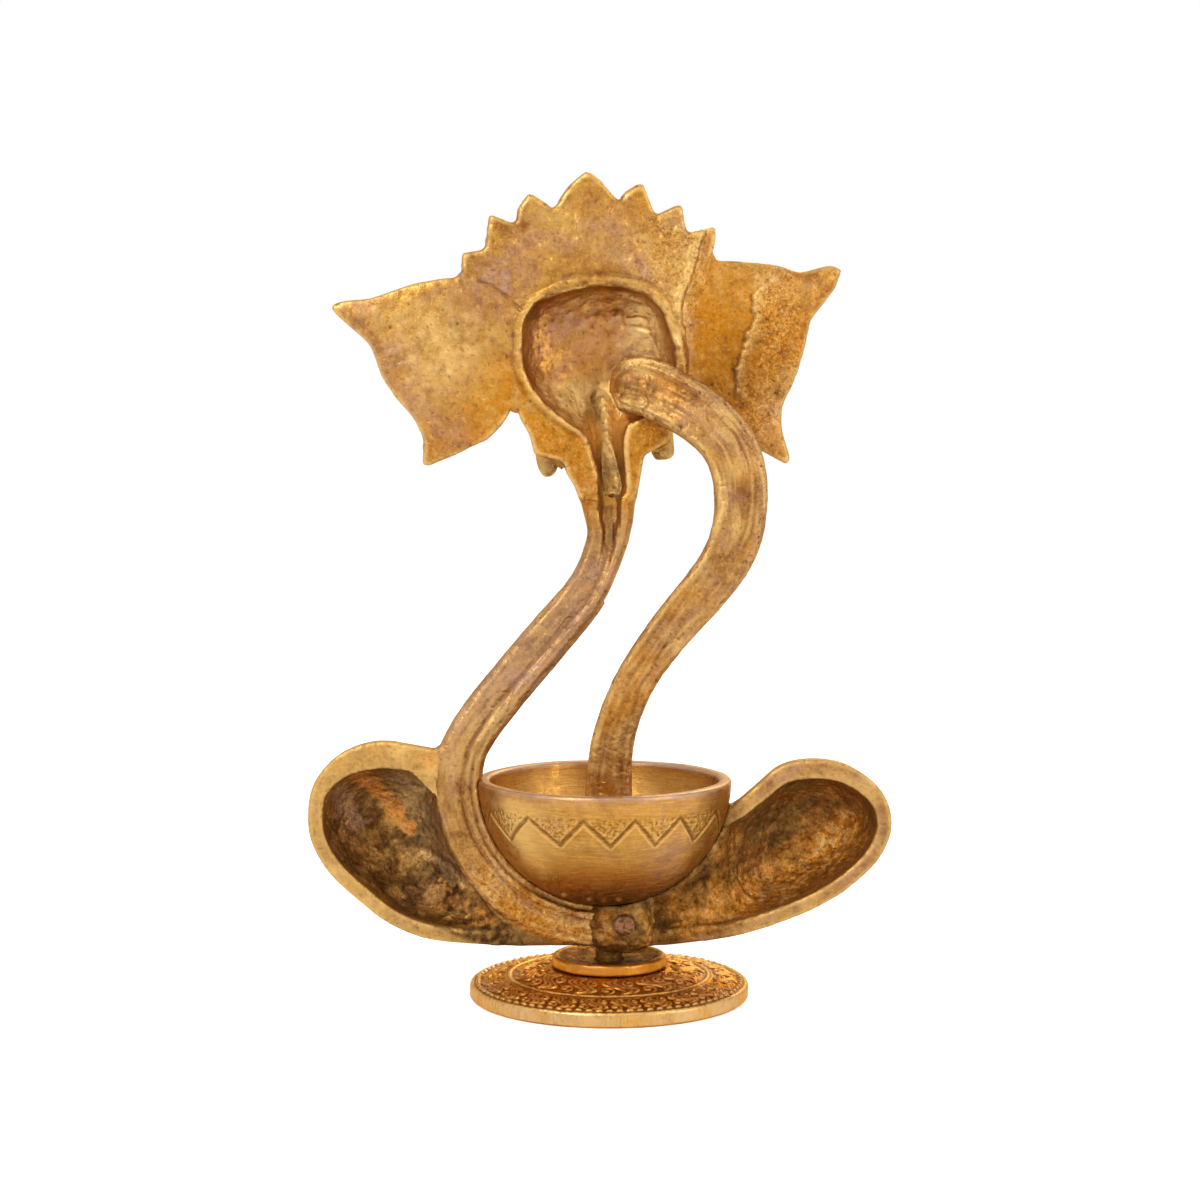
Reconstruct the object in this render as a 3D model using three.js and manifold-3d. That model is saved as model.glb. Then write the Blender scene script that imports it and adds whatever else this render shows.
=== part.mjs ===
// A cast brass Ganesha oil lamp on a round ornamented base, after a photograph of its back.
// Every length is in millimetres, Z is up, the face looks along -Y, and the origin is the
// middle of the base's underside. The pieces are cast apart and brazed, and nothing moves.
import * as THREE from "three";
import { mergeVertices } from "three/addons/utils/BufferGeometryUtils.js";
import Module from "manifold-3d";

const wasm = await Module();
wasm.setup();
const { Manifold, Mesh } = wasm;

const BRAZE_GAP = 0.3; // room left where two pieces are brazed together

const BASE_R = 35.9;
const BASE_EDGE_H = 4; // plain rounded edge
const BASE_RISE = 4.2; // from the edge up to the collar's seat
const BASE_RELIEF = 0.6; // height of the leaf bands and rings

const COLLAR_R = 14.9;
const COLLAR_H = 2.9;
const COLLAR_DISH = 1.3; // depth of the dished top

const STEM_R = 3.5;
const STEM_SHOW = 2.8; // from the collar's top to the legs' undersides
const STEM_TENON_R = 2.4; // upper end, let into the hub
const STEM_TENON_H = 4;

const HUB_W = 17;
const HUB_T = 15;
const HUB_X = -3.2; // the hub stands a little to one side of the base's axis
const HUB_H = 10.3; // from the hub's underside to the bowl's lowest point
const HUB_LIP = 3.4; // how far the hub's sides reach up round the bowl
const HUB_SAG = 1.7; // how far its underside hangs down round the stem
const PLUG_R = 3; // round braze plug on the hub's back
const PLUG_H = 1.2;

const BOWL_R = 32.6;
const BOWL_X = 1.2;
const BOWL_WALL = 3.2;
const BOWL_CHAMFER = 0.5;
const ZIGZAG_REPEATS = 14;
const ZIGZAG_DROP = 9.4; // from the rim to the middle of the zigzag line
const ZIGZAG_H = 6.6;
const ZIGZAG_TURN = -10; // degrees from the left side to a low point of the line
const ZIGZAG_LINE = 1.1; // half the width of the line
const ZIGZAG_CUT = 0.8;

const TRUNK_W = 11.7;
const TRUNK_T = 9.5;
const TRUNK_NEST = 1.3; // how far the bowl's rim is let into the trunk's side
const TRUNK_CHANNEL = 4.6; // depth of the groove below the jaw
const NECK_EXTRA = 2.6; // the trunk is this much thicker where it leaves the face

const STRUT_W = 12.8;
const STRUT_T = 8.4;
const STRUT_SLIM = 0.19; // share of its width that the strut loses half way down
const STRUT_BULGE = 33; // how far the strut swings out to the side
const STRUT_STANDOFF = 8.6; // how far its middle stands behind the bowl's axis

const LEG_LEFT_REACH = 75.8; // from the bowl's axis to the knee
const LEG_LEFT_H = 52.7;
const LEG_RIGHT_REACH = 73.5;
const LEG_RIGHT_H = 48.1;
const LEG_DEPTH = 21;
const LEG_WALL = 3.8;
const LEG_LEFT_BROW = 3.2; // how much wider than the wall the band above the hollow is
const LEG_RIGHT_BROW = 1.2;
const LEG_LAP = 0.6; // how far the hollow is drawn into the trunk and the bowl
const LEG_BACK = 4; // the open rim's distance behind the bowl's axis
const LEG_TAIL_H = 1.3; // height of the left leg's thin end beside the hub
const LEG_TAIL_DEPTH = 0.2; // share of the hollow's depth that is left beside the hub
const LEG_RIM_ROOM = 1.2; // how far the right leg stands off the bowl near its rim

const HEAD_X = 2; // middle of the face
const HEAD_RISE = 106.2; // from the bowl's rim to the middle of the face
const HEAD_TILT = 4.3; // degrees, crown leaning towards the left ear
const HEAD_YAW = 6; // degrees
const HEAD_BACK = 3; // the face rim's distance behind the bowl's axis

const FACE_W = 44; // across the cheeks
const FACE_TOP = 22; // from the middle of the face up to the crown
const FACE_NECK = 35; // from the middle of the face down to the trunk
const FACE_DEPTH = 15.5;
const FACE_WALL = 3.6;
const ROOT_RELIEF = 3.2; // how far the trunk's root stands out of the face
const BROW_RELIEF = 2;
const EYE_RELIEF = 1.8;

const CROWN_R = 47.7; // from the middle of the face to the highest point
const CROWN_T = 4.2;
const PETAL_RELIEF = 1.3;

const EAR_LEFT_SPAN = 67; // from the middle of the face to the tip
const EAR_RIGHT_SPAN = 64.3;
const EAR_T = 3.2;
const EAR_CURL = 3; // how far the tips bend forward
const EAR_LEFT_STEP = 0.5; // how far the ear's back lies below the face rim
const EAR_RIGHT_STEP = 1.8;

const TUSK_R = 3.5;
const TUSK_SET = 4.6; // how far the tusks are set in front of the face rim
const TUSK_LEFT_L = 14;
const TUSK_RIGHT_L = 11.4; // the broken tusk

// Heights and places that follow from the sizes above
const SEAT_Z = BASE_EDGE_H + BASE_RISE;
const STEM_FOOT_Z = BASE_EDGE_H * 0.75; // bottom of the socket that holds the stem
const HUB_Z = SEAT_Z + COLLAR_H + STEM_SHOW;
const BOWL_Z = HUB_Z + HUB_H + BOWL_R; // the rim, and the middle of the half ball
const HEAD_Z = BOWL_Z + HEAD_RISE;

const rad = THREE.MathUtils.degToRad;
const P = (x, y, z) => new THREE.Vector3(x, y, z);

// A closed body through rings of equally many points, with a fan on its first and last ring.
function loft(rings) {
  const n = rings[0].length;
  const at = [];
  const tri = [];
  for (const ring of rings) for (const p of ring) at.push(p.x, p.y, p.z);
  for (let k = 0; k + 1 < rings.length; k++)
    for (let i = 0; i < n; i++) {
      const a = k * n + i;
      const b = k * n + ((i + 1) % n);
      tri.push(a, b, b + n, a, b + n, a + n);
    }
  for (const k of [0, rings.length - 1]) {
    const mid = rings[k].reduce((s, p) => s.add(p), P(0, 0, 0)).divideScalar(n);
    const m = at.length / 3;
    at.push(mid.x, mid.y, mid.z);
    for (let i = 0; i < n; i++) {
      const a = k * n + i;
      const b = k * n + ((i + 1) % n);
      if (k) tri.push(a, b, m);
      else tri.push(b, a, m);
    }
  }
  return solid(at, tri);
}

function solid(at, tri) {
  const make = (t) =>
    new Manifold(
      new Mesh({
        numProp: 3,
        vertProperties: new Float32Array(at),
        triVerts: new Uint32Array(t),
      }),
    );
  const made = make(tri);
  if (made.volume() > 0) return made;
  const turned = [];
  for (let i = 0; i < tri.length; i += 3) turned.push(tri[i], tri[i + 2], tri[i + 1]);
  return make(turned);
}

// A turned body from [radius, height] points that start and end on the axis.
function turned(profile, segments) {
  const lathe = new THREE.LatheGeometry(profile.map(([r, h]) => new THREE.Vector2(r, h)), segments);
  lathe.deleteAttribute("normal").deleteAttribute("uv").rotateX(Math.PI / 2);
  const merged = mergeVertices(lathe, 1e-4);
  const index = [];
  for (let i = 0; i < merged.index.count; i += 3) {
    const [a, b, c] = [0, 1, 2].map((k) => merged.index.getX(i + k));
    if (a !== b && b !== c && c !== a) index.push(a, b, c);
  }
  return solid([...merged.attributes.position.array], index);
}

const circle = (r, n) =>
  Array.from({ length: n }, (_, i) => [
    r * Math.cos((2 * Math.PI * i) / n),
    r * Math.sin((2 * Math.PI * i) / n),
  ]);

// A body along a path. section(t) gives [across, back] points for t from 0 to 1.
function sweep(points, steps, section) {
  const path = new THREE.CatmullRomCurve3(points, false, "centripetal");
  const rings = [];
  for (let k = 0; k <= steps; k++) {
    const t = k / steps;
    const along = path.getTangentAt(t);
    const side = along.clone().cross(P(0, 1, 0)).normalize();
    const back = side.clone().cross(along).normalize();
    const at = path.getPointAt(t);
    rings.push(
      section(t).map(([u, v]) => at.clone().addScaledVector(side, u).addScaledVector(back, v)),
    );
  }
  return loft(rings);
}

// A flat-backed, round-fronted bar section with grooves cut in its back.
// Each groove is [place across, half width, depth].
function barSection(width, thick, grooves) {
  const w = width / 2;
  const h = thick / 2;
  const edge = 0.16 * thick;
  const points = [];
  for (let i = 0; i <= 8; i++) {
    const a = (Math.PI * i) / 8;
    const x = Math.sign(Math.cos(a)) * Math.abs(Math.cos(a)) ** 0.8;
    points.push([w * x, h - edge - (thick - edge) * Math.sin(a) ** 0.8]);
  }
  points.push([-w + edge, h]);
  for (const [at, half, deep] of grooves)
    points.push([at - half, h], [at - half * 0.55, h - deep], [at + half * 0.55, h - deep],
      [at + half, h]);
  points.push([w - edge, h]);
  return points;
}

// Distance from the middle to an outline of [x, z] points, along a direction.
function reach(outline, angle) {
  const [c, s] = [Math.cos(angle), Math.sin(angle)];
  let far = 0;
  outline.forEach(([x0, z0], i) => {
    const [x1, z1] = outline[(i + 1) % outline.length];
    const [dx, dz] = [x1 - x0, z1 - z0];
    const cut = c * dz - s * dx;
    if (Math.abs(cut) < 1e-9) return;
    const t = (x0 * dz - z0 * dx) / cut;
    const u = (x0 * s - z0 * c) / cut;
    if (t > 0 && u >= -1e-9 && u <= 1 + 1e-9) far = Math.max(far, t);
  });
  return far;
}

// A smooth closed outline through a few points.
function smooth(points, count) {
  const loop = new THREE.CatmullRomCurve3(
    points.map(([x, z]) => P(x, 0, z)),
    true,
    "centripetal",
  );
  return loop.getPoints(count).slice(0, count).map((p) => [p.x, p.z]);
}

// Directions in even steps, with the outline's own corners added where they are wanted.
function directions(count, corners = []) {
  const even = Array.from({ length: count }, (_, i) => (2 * Math.PI * i) / count);
  const own = corners.map(([x, z]) => (Math.atan2(z, x) + 2 * Math.PI) % (2 * Math.PI));
  const kept = even.filter((a) => own.every((b) => Math.abs(a - b) > 0.03));
  return [...kept, ...own].sort((a, b) => a - b);
}

// Rings that climb from an outline over a rounded front, deepest at the middle.
function domeRings(radii, angles, rings, depth, bend, relief) {
  return Array.from({ length: rings }, (_, k) => {
    const f = Math.cos((Math.PI / 2) * (k / rings));
    const deep = depth * (1 - f ** bend) ** (1 / bend);
    return angles.map((a, i) => {
      const [x, z] = [f * radii[i] * Math.cos(a), f * radii[i] * Math.sin(a)];
      return P(x, -deep - (relief ? relief(x, z, f) : 0), z);
    });
  });
}

// Base, collar, stem, hub and bowl

// Leaf bands and rings on the base's sloping top, as a height at a radius and an angle.
function baseRelief(r, a) {
  const t = r / BASE_R;
  const ring = (at) => Math.max(0, 1 - Math.abs(t - at) / 0.025);
  const leaf = (from, to, n, lean) =>
    t > from && t < to
      ? Math.sin((Math.PI * (t - from)) / (to - from)) * (0.5 + 0.5 * Math.cos(n * a + lean * t))
      : 0;
  return BASE_RELIEF * (ring(0.73) + leaf(0.45, 0.7, 12, 9) + 0.8 * leaf(0.76, 0.9, 24, 0));
}

function basePlate() {
  const n = 48;
  const socket = STEM_R + BRAZE_GAP;
  const top = [0.97, 0.93, 0.9, 0.83, 0.76, 0.73, 0.7, 0.64, 0.575, 0.51, 0.45];
  const slope = (r) => {
    const t = (BASE_R - r) / (BASE_R - COLLAR_R);
    return BASE_EDGE_H + BASE_RISE * t;
  };
  const flat = (r, z) => circle(r, n).map(([x, y]) => P(x, y, z));
  return loft([
    flat(BASE_R * 0.5, 0),
    flat(BASE_R - 1, 0),
    flat(BASE_R, 1),
    flat(BASE_R, BASE_EDGE_H - 0.7),
    ...top.map((f) =>
      circle(BASE_R * f, n).map(([x, y], i) =>
        P(x, y, slope(BASE_R * f) + baseRelief(BASE_R * f, (2 * Math.PI * i) / n) - 0.3),
      ),
    ),
    flat(COLLAR_R + 0.8, SEAT_Z),
    flat(socket, SEAT_Z),
    flat(socket, STEM_FOOT_Z),
  ]);
}

function baseCollar() {
  const bore = STEM_R + BRAZE_GAP;
  const top = SEAT_Z + COLLAR_H;
  const floor = top - COLLAR_DISH;
  return turned(
    [[bore, SEAT_Z], [COLLAR_R - 0.5, SEAT_Z], [COLLAR_R, SEAT_Z + 0.5], [COLLAR_R, floor + 0.5],
      [COLLAR_R - 0.9, top], [COLLAR_R - 1.9, top - 0.2], [COLLAR_R * 0.62, floor],
      [bore, floor], [bore, SEAT_Z]],
    48,
  );
}

const stemProfile = (grow) => [
  [0, STEM_FOOT_Z],
  [STEM_R + grow, STEM_FOOT_Z],
  [STEM_R + grow, HUB_Z + grow],
  [STEM_TENON_R + grow, HUB_Z + grow],
  [STEM_TENON_R + grow, HUB_Z + STEM_TENON_H + grow],
  [0, HUB_Z + STEM_TENON_H + grow],
];

function hubBlock(grow) {
  const half = [HUB_W / 2 + grow, HUB_T / 2 + grow];
  const low = HUB_Z - HUB_SAG;
  const high = HUB_SAG + HUB_H + HUB_LIP;
  const levels = [0, 0.07, 0.16, 0.3, 0.55, 0.8, 1];
  const width = [0.66, 0.82, 0.94, 1, 1, 0.94, 0.86];
  return loft(
    levels.map((f, k) =>
      Array.from({ length: 24 }, (_, i) => {
        const a = (2 * Math.PI * i) / 24;
        const round = (v) => Math.sign(v) * Math.abs(v) ** 0.72;
        return P(
          HUB_X + half[0] * width[k] * round(Math.cos(a)),
          half[1] * width[k] * round(Math.sin(a)),
          low - (k ? 0 : grow) + f * high,
        );
      }),
    ),
  );
}

// A round plug of filler metal on the hub's back.
function brazePlug() {
  return turned(
    [[0, -PLUG_H], [PLUG_R, -PLUG_H], [PLUG_R, PLUG_H * 0.5], [PLUG_R * 0.8, PLUG_H],
      [0, PLUG_H * 1.2]],
    24,
  ).rotate([-90, 0, 0]).translate([HUB_X - PLUG_R * 0.2, HUB_T / 2, HUB_Z + HUB_H * 0.6]);
}

// The bowl's shell, with a zigzag groove round it below the rim.
function bowl(grow = 0) {
  const perRepeat = 4;
  const n = ZIGZAG_REPEATS * perRepeat;
  const ring = (radiusAt, heightAt) =>
    Array.from({ length: n }, (_, i) => {
      const a = (2 * Math.PI * i) / n + rad(ZIGZAG_TURN);
      const r = radiusAt(i);
      return P(BOWL_X + r * Math.cos(a), r * Math.sin(a), BOWL_Z - heightAt(i));
    });
  const onBall = (R, down) => Math.sqrt(Math.max(0, R * R - down * down));
  const plain = (R, down) => ring(() => onBall(R, down), () => down);
  const wave = (i) => ZIGZAG_H * (Math.abs((i % perRepeat) - perRepeat / 2) / (perRepeat / 2) - 0.5);
  const zig = (off, cut) => {
    const down = (i) => ZIGZAG_DROP + wave(i) + off;
    return ring((i) => onBall(BOWL_R, down(i)) - cut, down);
  };
  const inner = BOWL_R - BOWL_WALL - grow;
  const outside = [0.995, 0.95, 0.85, 0.7, 0.55].map((f) => plain(BOWL_R, BOWL_R * f));
  const inside = [0, 0.3, 0.55, 0.77, 0.92, 0.99].map((f) => plain(inner, inner * f));
  return loft([
    ...outside,
    zig(ZIGZAG_LINE, 0),
    zig(0, ZIGZAG_CUT),
    zig(-ZIGZAG_LINE, 0),
    plain(BOWL_R, BOWL_CHAMFER),
    ring(() => BOWL_R - BOWL_CHAMFER, () => 0),
    ring(() => inner + BOWL_CHAMFER, () => 0),
    ...inside,
  ]);
}

// The half ball that the bowl fills, with its rim's level carried up by the room asked for.
function bowlBall(grow) {
  const R = BOWL_R + grow;
  const profile = Array.from({ length: 17 }, (_, k) => {
    const a = (Math.PI / 2) * (k / 16);
    return [R * Math.sin(a), -R * Math.cos(a)];
  });
  return turned([...profile, [R, grow], [0, grow]], 48).translate([BOWL_X, 0, BOWL_Z]);
}

// The head, drawn upright about the middle of the face

// Outlines are fractions of the face's half width and of its heights.
const cheek = FACE_W / 2;
const faceOutline = [
  [0, FACE_TOP], [cheek * 0.44, FACE_TOP * 0.94], [cheek * 0.79, FACE_TOP * 0.8],
  [cheek * 0.95, FACE_TOP * 0.58], [cheek * 0.99, FACE_TOP * 0.28], [cheek, 0],
  [cheek, -FACE_NECK * 0.2], [cheek * 0.98, -FACE_NECK * 0.36],
  [cheek * 0.89, -FACE_NECK * 0.48], [cheek * 0.85, -FACE_NECK * 0.63],
  [cheek * 0.51, -FACE_NECK * 0.7], [cheek * 0.49, -FACE_NECK * 0.79],
  [cheek * 0.43, -FACE_NECK * 0.86], [cheek * 0.37, -FACE_NECK * 0.98],
  [cheek * 0.33, -FACE_NECK * 1.2],
  [-cheek * 0.22, -FACE_NECK * 1.2], [-cheek * 0.3, -FACE_NECK * 1.0],
  [-cheek * 0.35, -FACE_NECK * 0.88], [-cheek * 0.42, -FACE_NECK * 0.7],
  [-cheek * 0.7, -FACE_NECK * 0.62], [-cheek * 0.76, -FACE_NECK * 0.5],
  [-cheek * 0.88, -FACE_NECK * 0.36], [-cheek * 0.96, -FACE_NECK * 0.2],
  [-cheek * 0.98, 0], [-cheek * 0.95, FACE_TOP * 0.32], [-cheek * 0.88, FACE_TOP * 0.6],
  [-cheek * 0.7, FACE_TOP * 0.82], [-cheek * 0.4, FACE_TOP * 0.94],
];
const hollowOutline = [
  [0, FACE_TOP * 0.87], [cheek * 0.42, FACE_TOP * 0.81], [cheek * 0.74, FACE_TOP * 0.72],
  [cheek * 0.87, FACE_TOP * 0.54], [cheek * 0.91, FACE_TOP * 0.25],
  [cheek * 0.91, 0], [cheek * 0.84, -FACE_NECK * 0.14], [cheek * 0.7, -FACE_NECK * 0.27],
  [cheek * 0.48, -FACE_NECK * 0.41], [cheek * 0.26, -FACE_NECK * 0.51],
  [cheek * 0.19, -FACE_NECK * 0.62], [cheek * 0.17, -FACE_NECK],
  [cheek * 0.12, -FACE_NECK * 1.12], [-cheek * 0.13, -FACE_NECK * 1.12],
  [-cheek * 0.18, -FACE_NECK], [-cheek * 0.2, -FACE_NECK * 0.62],
  [-cheek * 0.24, -FACE_NECK * 0.48], [-cheek * 0.55, -FACE_NECK * 0.39],
  [-cheek * 0.78, -FACE_NECK * 0.26], [-cheek * 0.87, -FACE_NECK * 0.1],
  [-cheek * 0.87, FACE_TOP * 0.07], [-cheek * 0.83, FACE_TOP * 0.3],
  [-cheek * 0.76, FACE_TOP * 0.55], [-cheek * 0.6, FACE_TOP * 0.72],
  [-cheek * 0.33, FACE_TOP * 0.83],
];

// A round swelling of height 1 at a place, falling away over a half width and a half height.
const bump = (x, z, at, size) =>
  Math.exp(-(((x - at[0]) / size[0]) ** 2) - ((z - at[1]) / size[1]) ** 2);

// Brow, cheeks, eyes and the root of the trunk, as a height added to the front of the face.
function faceRelief(x, z, f) {
  const side = Math.abs(x);
  const down = Math.min(1, Math.max(0, 0.35 - z / FACE_NECK));
  const root = ROOT_RELIEF * Math.exp(-((x / (cheek * 0.3)) ** 2)) * down;
  const brow = bump(side, z, [cheek * 0.42, FACE_TOP * 0.34], [cheek * 0.26, FACE_TOP * 0.12]);
  const eye = bump(side, z, [cheek * 0.46, -FACE_TOP * 0.02], [cheek * 0.17, FACE_TOP * 0.12]);
  return (root + BROW_RELIEF * brow + EYE_RELIEF * eye) * Math.min(1, 4 * (1 - f));
}

function faceBody(grow, filled) {
  const angles = directions(36, faceOutline);
  const outer = angles.map((a) => reach(faceOutline, a) + grow);
  const outside = domeRings(outer, angles, 8, FACE_DEPTH + grow, 2.5, faceRelief);
  const lift = (rings, y) => rings.map((r) => r.map((p) => P(p.x, p.y + y, p.z)));
  if (filled) {
    const cap = outside[0].map((p) => P(p.x, grow, p.z));
    return loft([cap, ...lift(outside, 0)]);
  }
  const inner = angles.map((a) => reach(hollowOutline, a) - grow);
  const inside = domeRings(inner, angles, 6, FACE_DEPTH - FACE_WALL - grow, 2.3);
  const low = [outside[0].map((p) => P(p.x, grow, p.z)), ...outside.slice(1)];
  return loft([...low.reverse(), ...lift(inside, grow)]);
}

// The head's place: tilted in the plane of the lamp, then turned a little about the upright.
const headAt = P(HEAD_X, HEAD_BACK, HEAD_Z);
const headTurn = new THREE.Quaternion().setFromEuler(
  new THREE.Euler(0, rad(HEAD_TILT), rad(HEAD_YAW), "ZYX"),
);
const headMatrix = new THREE.Matrix4().compose(headAt, headTurn, P(1, 1, 1));
const headPoint = (x, y, z) => P(x, y, z).applyMatrix4(headMatrix);
const inPlace = (body) => body.transform(headMatrix.elements);

// The spiked edge as [direction in degrees, fraction of the crown's radius, 1 at a tip].
const spikes = [
  [42, 0.925, 1], [48, 0.845, 0], [57, 0.97, 1], [62.5, 0.838, 0], [65.5, 0.905, 0],
  [71, 0.96, 1], [77, 0.83, 0], [84, 0.935, 0], [90, 1, 1], [95, 0.93, 0], [101, 0.84, 0],
  [103.5, 0.9, 0], [107.5, 0.965, 1], [115, 0.818, 0], [121.5, 0.935, 1],
  [128.5, 0.815, 0], [135, 0.94, 1],
];
const spike = ([deg, f]) => [CROWN_R * f * Math.cos(rad(deg)), CROWN_R * f * Math.sin(rad(deg))];

function crownPlate(grow, front) {
  const edge = [
    [CROWN_R * 0.7, CROWN_R * 0.49], ...spikes.map(spike),
    [-CROWN_R * 0.65, CROWN_R * 0.57], [-CROWN_R * 0.6, CROWN_R * 0.46],
    [-CROWN_R * 0.545, CROWN_R * 0.33], [-CROWN_R * 0.5, CROWN_R * 0.16],
    [-CROWN_R * 0.38, CROWN_R * 0.12], [CROWN_R * 0.3, CROWN_R * 0.2],
    [CROWN_R * 0.38, CROWN_R * 0.335], [CROWN_R * 0.51, CROWN_R * 0.42],
  ];
  const centre = [0, CROWN_R * 0.4];
  const moved = edge.map(([x, z]) => [x - centre[0], z - centre[1]]);
  const angles = directions(8, moved);
  const radii = angles.map((a) => reach(moved, a));
  const tips = spikes.filter(([, , tip]) => tip).map(spike);
  const isTip = angles.map((a) =>
    tips.some(([x, z]) => Math.abs(Math.atan2(z - centre[1], x - centre[0]) - a) < 1e-6),
  );
  // Part of the way out, with a ridge towards each tip
  const ring = (f, shrink, y, ridge = 0) =>
    angles.map((a, i) => {
      const r = f * radii[i] + grow - shrink;
      return P(centre[0] + r * Math.cos(a), y - (isTip[i] ? ridge : 0), centre[1] + r * Math.sin(a));
    });
  const t = CROWN_T + grow;
  if (!front) return loft([ring(1, 0, grow), ring(1, 0, -t - PETAL_RELIEF)]);
  return loft([
    ring(1, t * 0.12, 0), ring(1, 0, -t * 0.12), ring(1, 0, -t * 0.8), ring(1, t * 0.2, -t),
    ring(0.86, 0, -t, PETAL_RELIEF), ring(0.62, 0, -t, PETAL_RELIEF), ring(0.5, 0, -t),
  ]);
}

// Ears: fractions of the ear's span, seen from the front of the frame (x to the left ear).
const earLeftOutline = [
  [0.25, 0.2], [0.34, 0.29], [0.46, 0.35], [0.57, 0.355], [0.67, 0.345], [0.85, 0.3],
  [0.965, 0.295], [0.995, 0.28], [0.975, 0.25], [0.915, 0.187], [0.86, 0.125], [0.823, 0],
  [0.775, -0.085], [0.72, -0.16], [0.69, -0.24], [0.7, -0.335], [0.68, -0.342],
  [0.59, -0.315], [0.465, -0.264], [0.397, -0.209], [0.342, -0.14], [0.25, -0.05],
];
const earRightOutline = [
  [-0.3, 0.24], [-0.42, 0.37], [-0.48, 0.365], [-0.6, 0.352], [-0.735, 0.328],
  [-0.825, 0.294], [-0.955, 0.312], [-0.998, 0.292], [-0.96, 0.216], [-0.855, 0.1],
  [-0.825, 0], [-0.79, -0.092], [-0.715, -0.235], [-0.708, -0.336], [-0.733, -0.44],
  [-0.717, -0.465], [-0.6, -0.39], [-0.48, -0.28], [-0.36, -0.19], [-0.27, -0.05],
];

function ear(outline, span, step, side) {
  const middle = [side * span * 0.55, span * 0.05];
  const own = outline.map(([x, z]) => [x * span - middle[0], z * span - middle[1]]);
  const angles = directions(14, own);
  const radii = angles.map((a) => reach(own, a));
  const bendAt = (x) => EAR_CURL * Math.max(0, Math.abs(x) / span - 0.35) ** 2 / 0.65 ** 2;
  const ring = (f, shrink, y, swell) =>
    angles.map((a, i) => {
      const r = radii[i] * f - shrink;
      const [x, z] = [middle[0] + r * Math.cos(a), middle[1] + r * Math.sin(a)];
      return P(x, -step - bendAt(x) + y - swell * (1 - f * f), z);
    });
  return loft([
    ring(0.45, 0, 0, -EAR_T * 0.16), ring(0.92, 0, 0, 0), ring(1, 0, -EAR_T * 0.16, 0),
    ring(1, EAR_T * 0.12, -EAR_T, 0), ring(0.86, 0, -EAR_T * 1.16, 0),
    ring(0.72, 0, -EAR_T * 0.84, 0), ring(0.4, 0, -EAR_T, EAR_T * 0.2),
  ]);
}

function tusk(side, length, blunt) {
  const root = [side * cheek * 0.62, -TUSK_SET, -FACE_NECK * 0.42];
  const tip = [side * (cheek * 0.67 + length * 0.06), -TUSK_SET - length * 0.2,
    -FACE_NECK * 0.42 - length * 0.97];
  const path = [0, 0.5, 1].map((t) =>
    P(
      root[0] + (tip[0] - root[0]) * t,
      root[1] + (tip[1] - root[1]) * t,
      root[2] + (tip[2] - root[2]) * t,
    ),
  );
  return sweep(path, 10, (t) => {
    const rounded = Math.sqrt(Math.max(0.02, 1 - Math.max(0, t * 1.7 - 0.7) ** 2));
    const end = blunt ? 1 - 0.25 * t ** 4 : rounded;
    const r = TUSK_R * (1 - 0.12 * t) * end;
    return circle(1, 14).map(([u, v], i) => {
      const rough = blunt ? 1 + 0.13 * Math.sin(5 * i) * t : 1;
      return [r * u * rough, r * v * rough];
    });
  });
}

// Trunk and strut

const neck = headPoint(cheek * 0.01, -(TRUNK_T + NECK_EXTRA) / 2, -FACE_NECK);
const cradleR = BOWL_R + TRUNK_W / 2 + BRAZE_GAP;
const onCradle = (deg, inset) =>
  P(BOWL_X + (cradleR - inset) * Math.cos(rad(deg)), 0, BOWL_Z + (cradleR - inset) * Math.sin(rad(deg)));

function trunkBar(grow) {
  const foot = onCradle(0, TRUNK_NEST + 0.1);
  const lean = [[1, 0], [0.89, -0.006], [0.78, 0.052], [0.667, 0.156], [0.56, 0.318],
    [0.437, 0.514], [0.323, 0.69], [0.21, 0.855], [0.1, 0.972]];
  const path = [P(neck.x, neck.y, neck.z + TRUNK_T / 3)];
  for (const [up, out] of lean)
    path.push(P(neck.x + (foot.x - neck.x) * out, neck.y * up, foot.z + (neck.z - foot.z) * up));
  for (const deg of [0, -12, -25, -38, -51, -64, -76, -86])
    path.push(onCradle(deg, (TRUNK_NEST + 0.1) * (1 + deg / 90)));
  // The bar starts at the face's lower edge and narrows from the jaw's width to its own
  return sweep(path, 34, (t) => {
    const jaw = Math.max(0, 1 - t / 0.09);
    const slim = 1 - 0.12 * Math.exp(-(((t - 0.14) / 0.09) ** 2));
    const width = TRUNK_W * slim * (1 + 0.3 * jaw) + 2 * grow;
    const fade = Math.max(0, 1 - t / 0.16);
    const channel = [TRUNK_W * (0.02 - 0.14 * Math.min(1, t * 5)), 1 + 2.4 * fade,
      0.7 + (TRUNK_CHANNEL - 0.7) * fade ** 1.3];
    return barSection(width, TRUNK_T + NECK_EXTRA * jaw + 2 * grow, grow ? [] : [channel]);
  });
}

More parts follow.
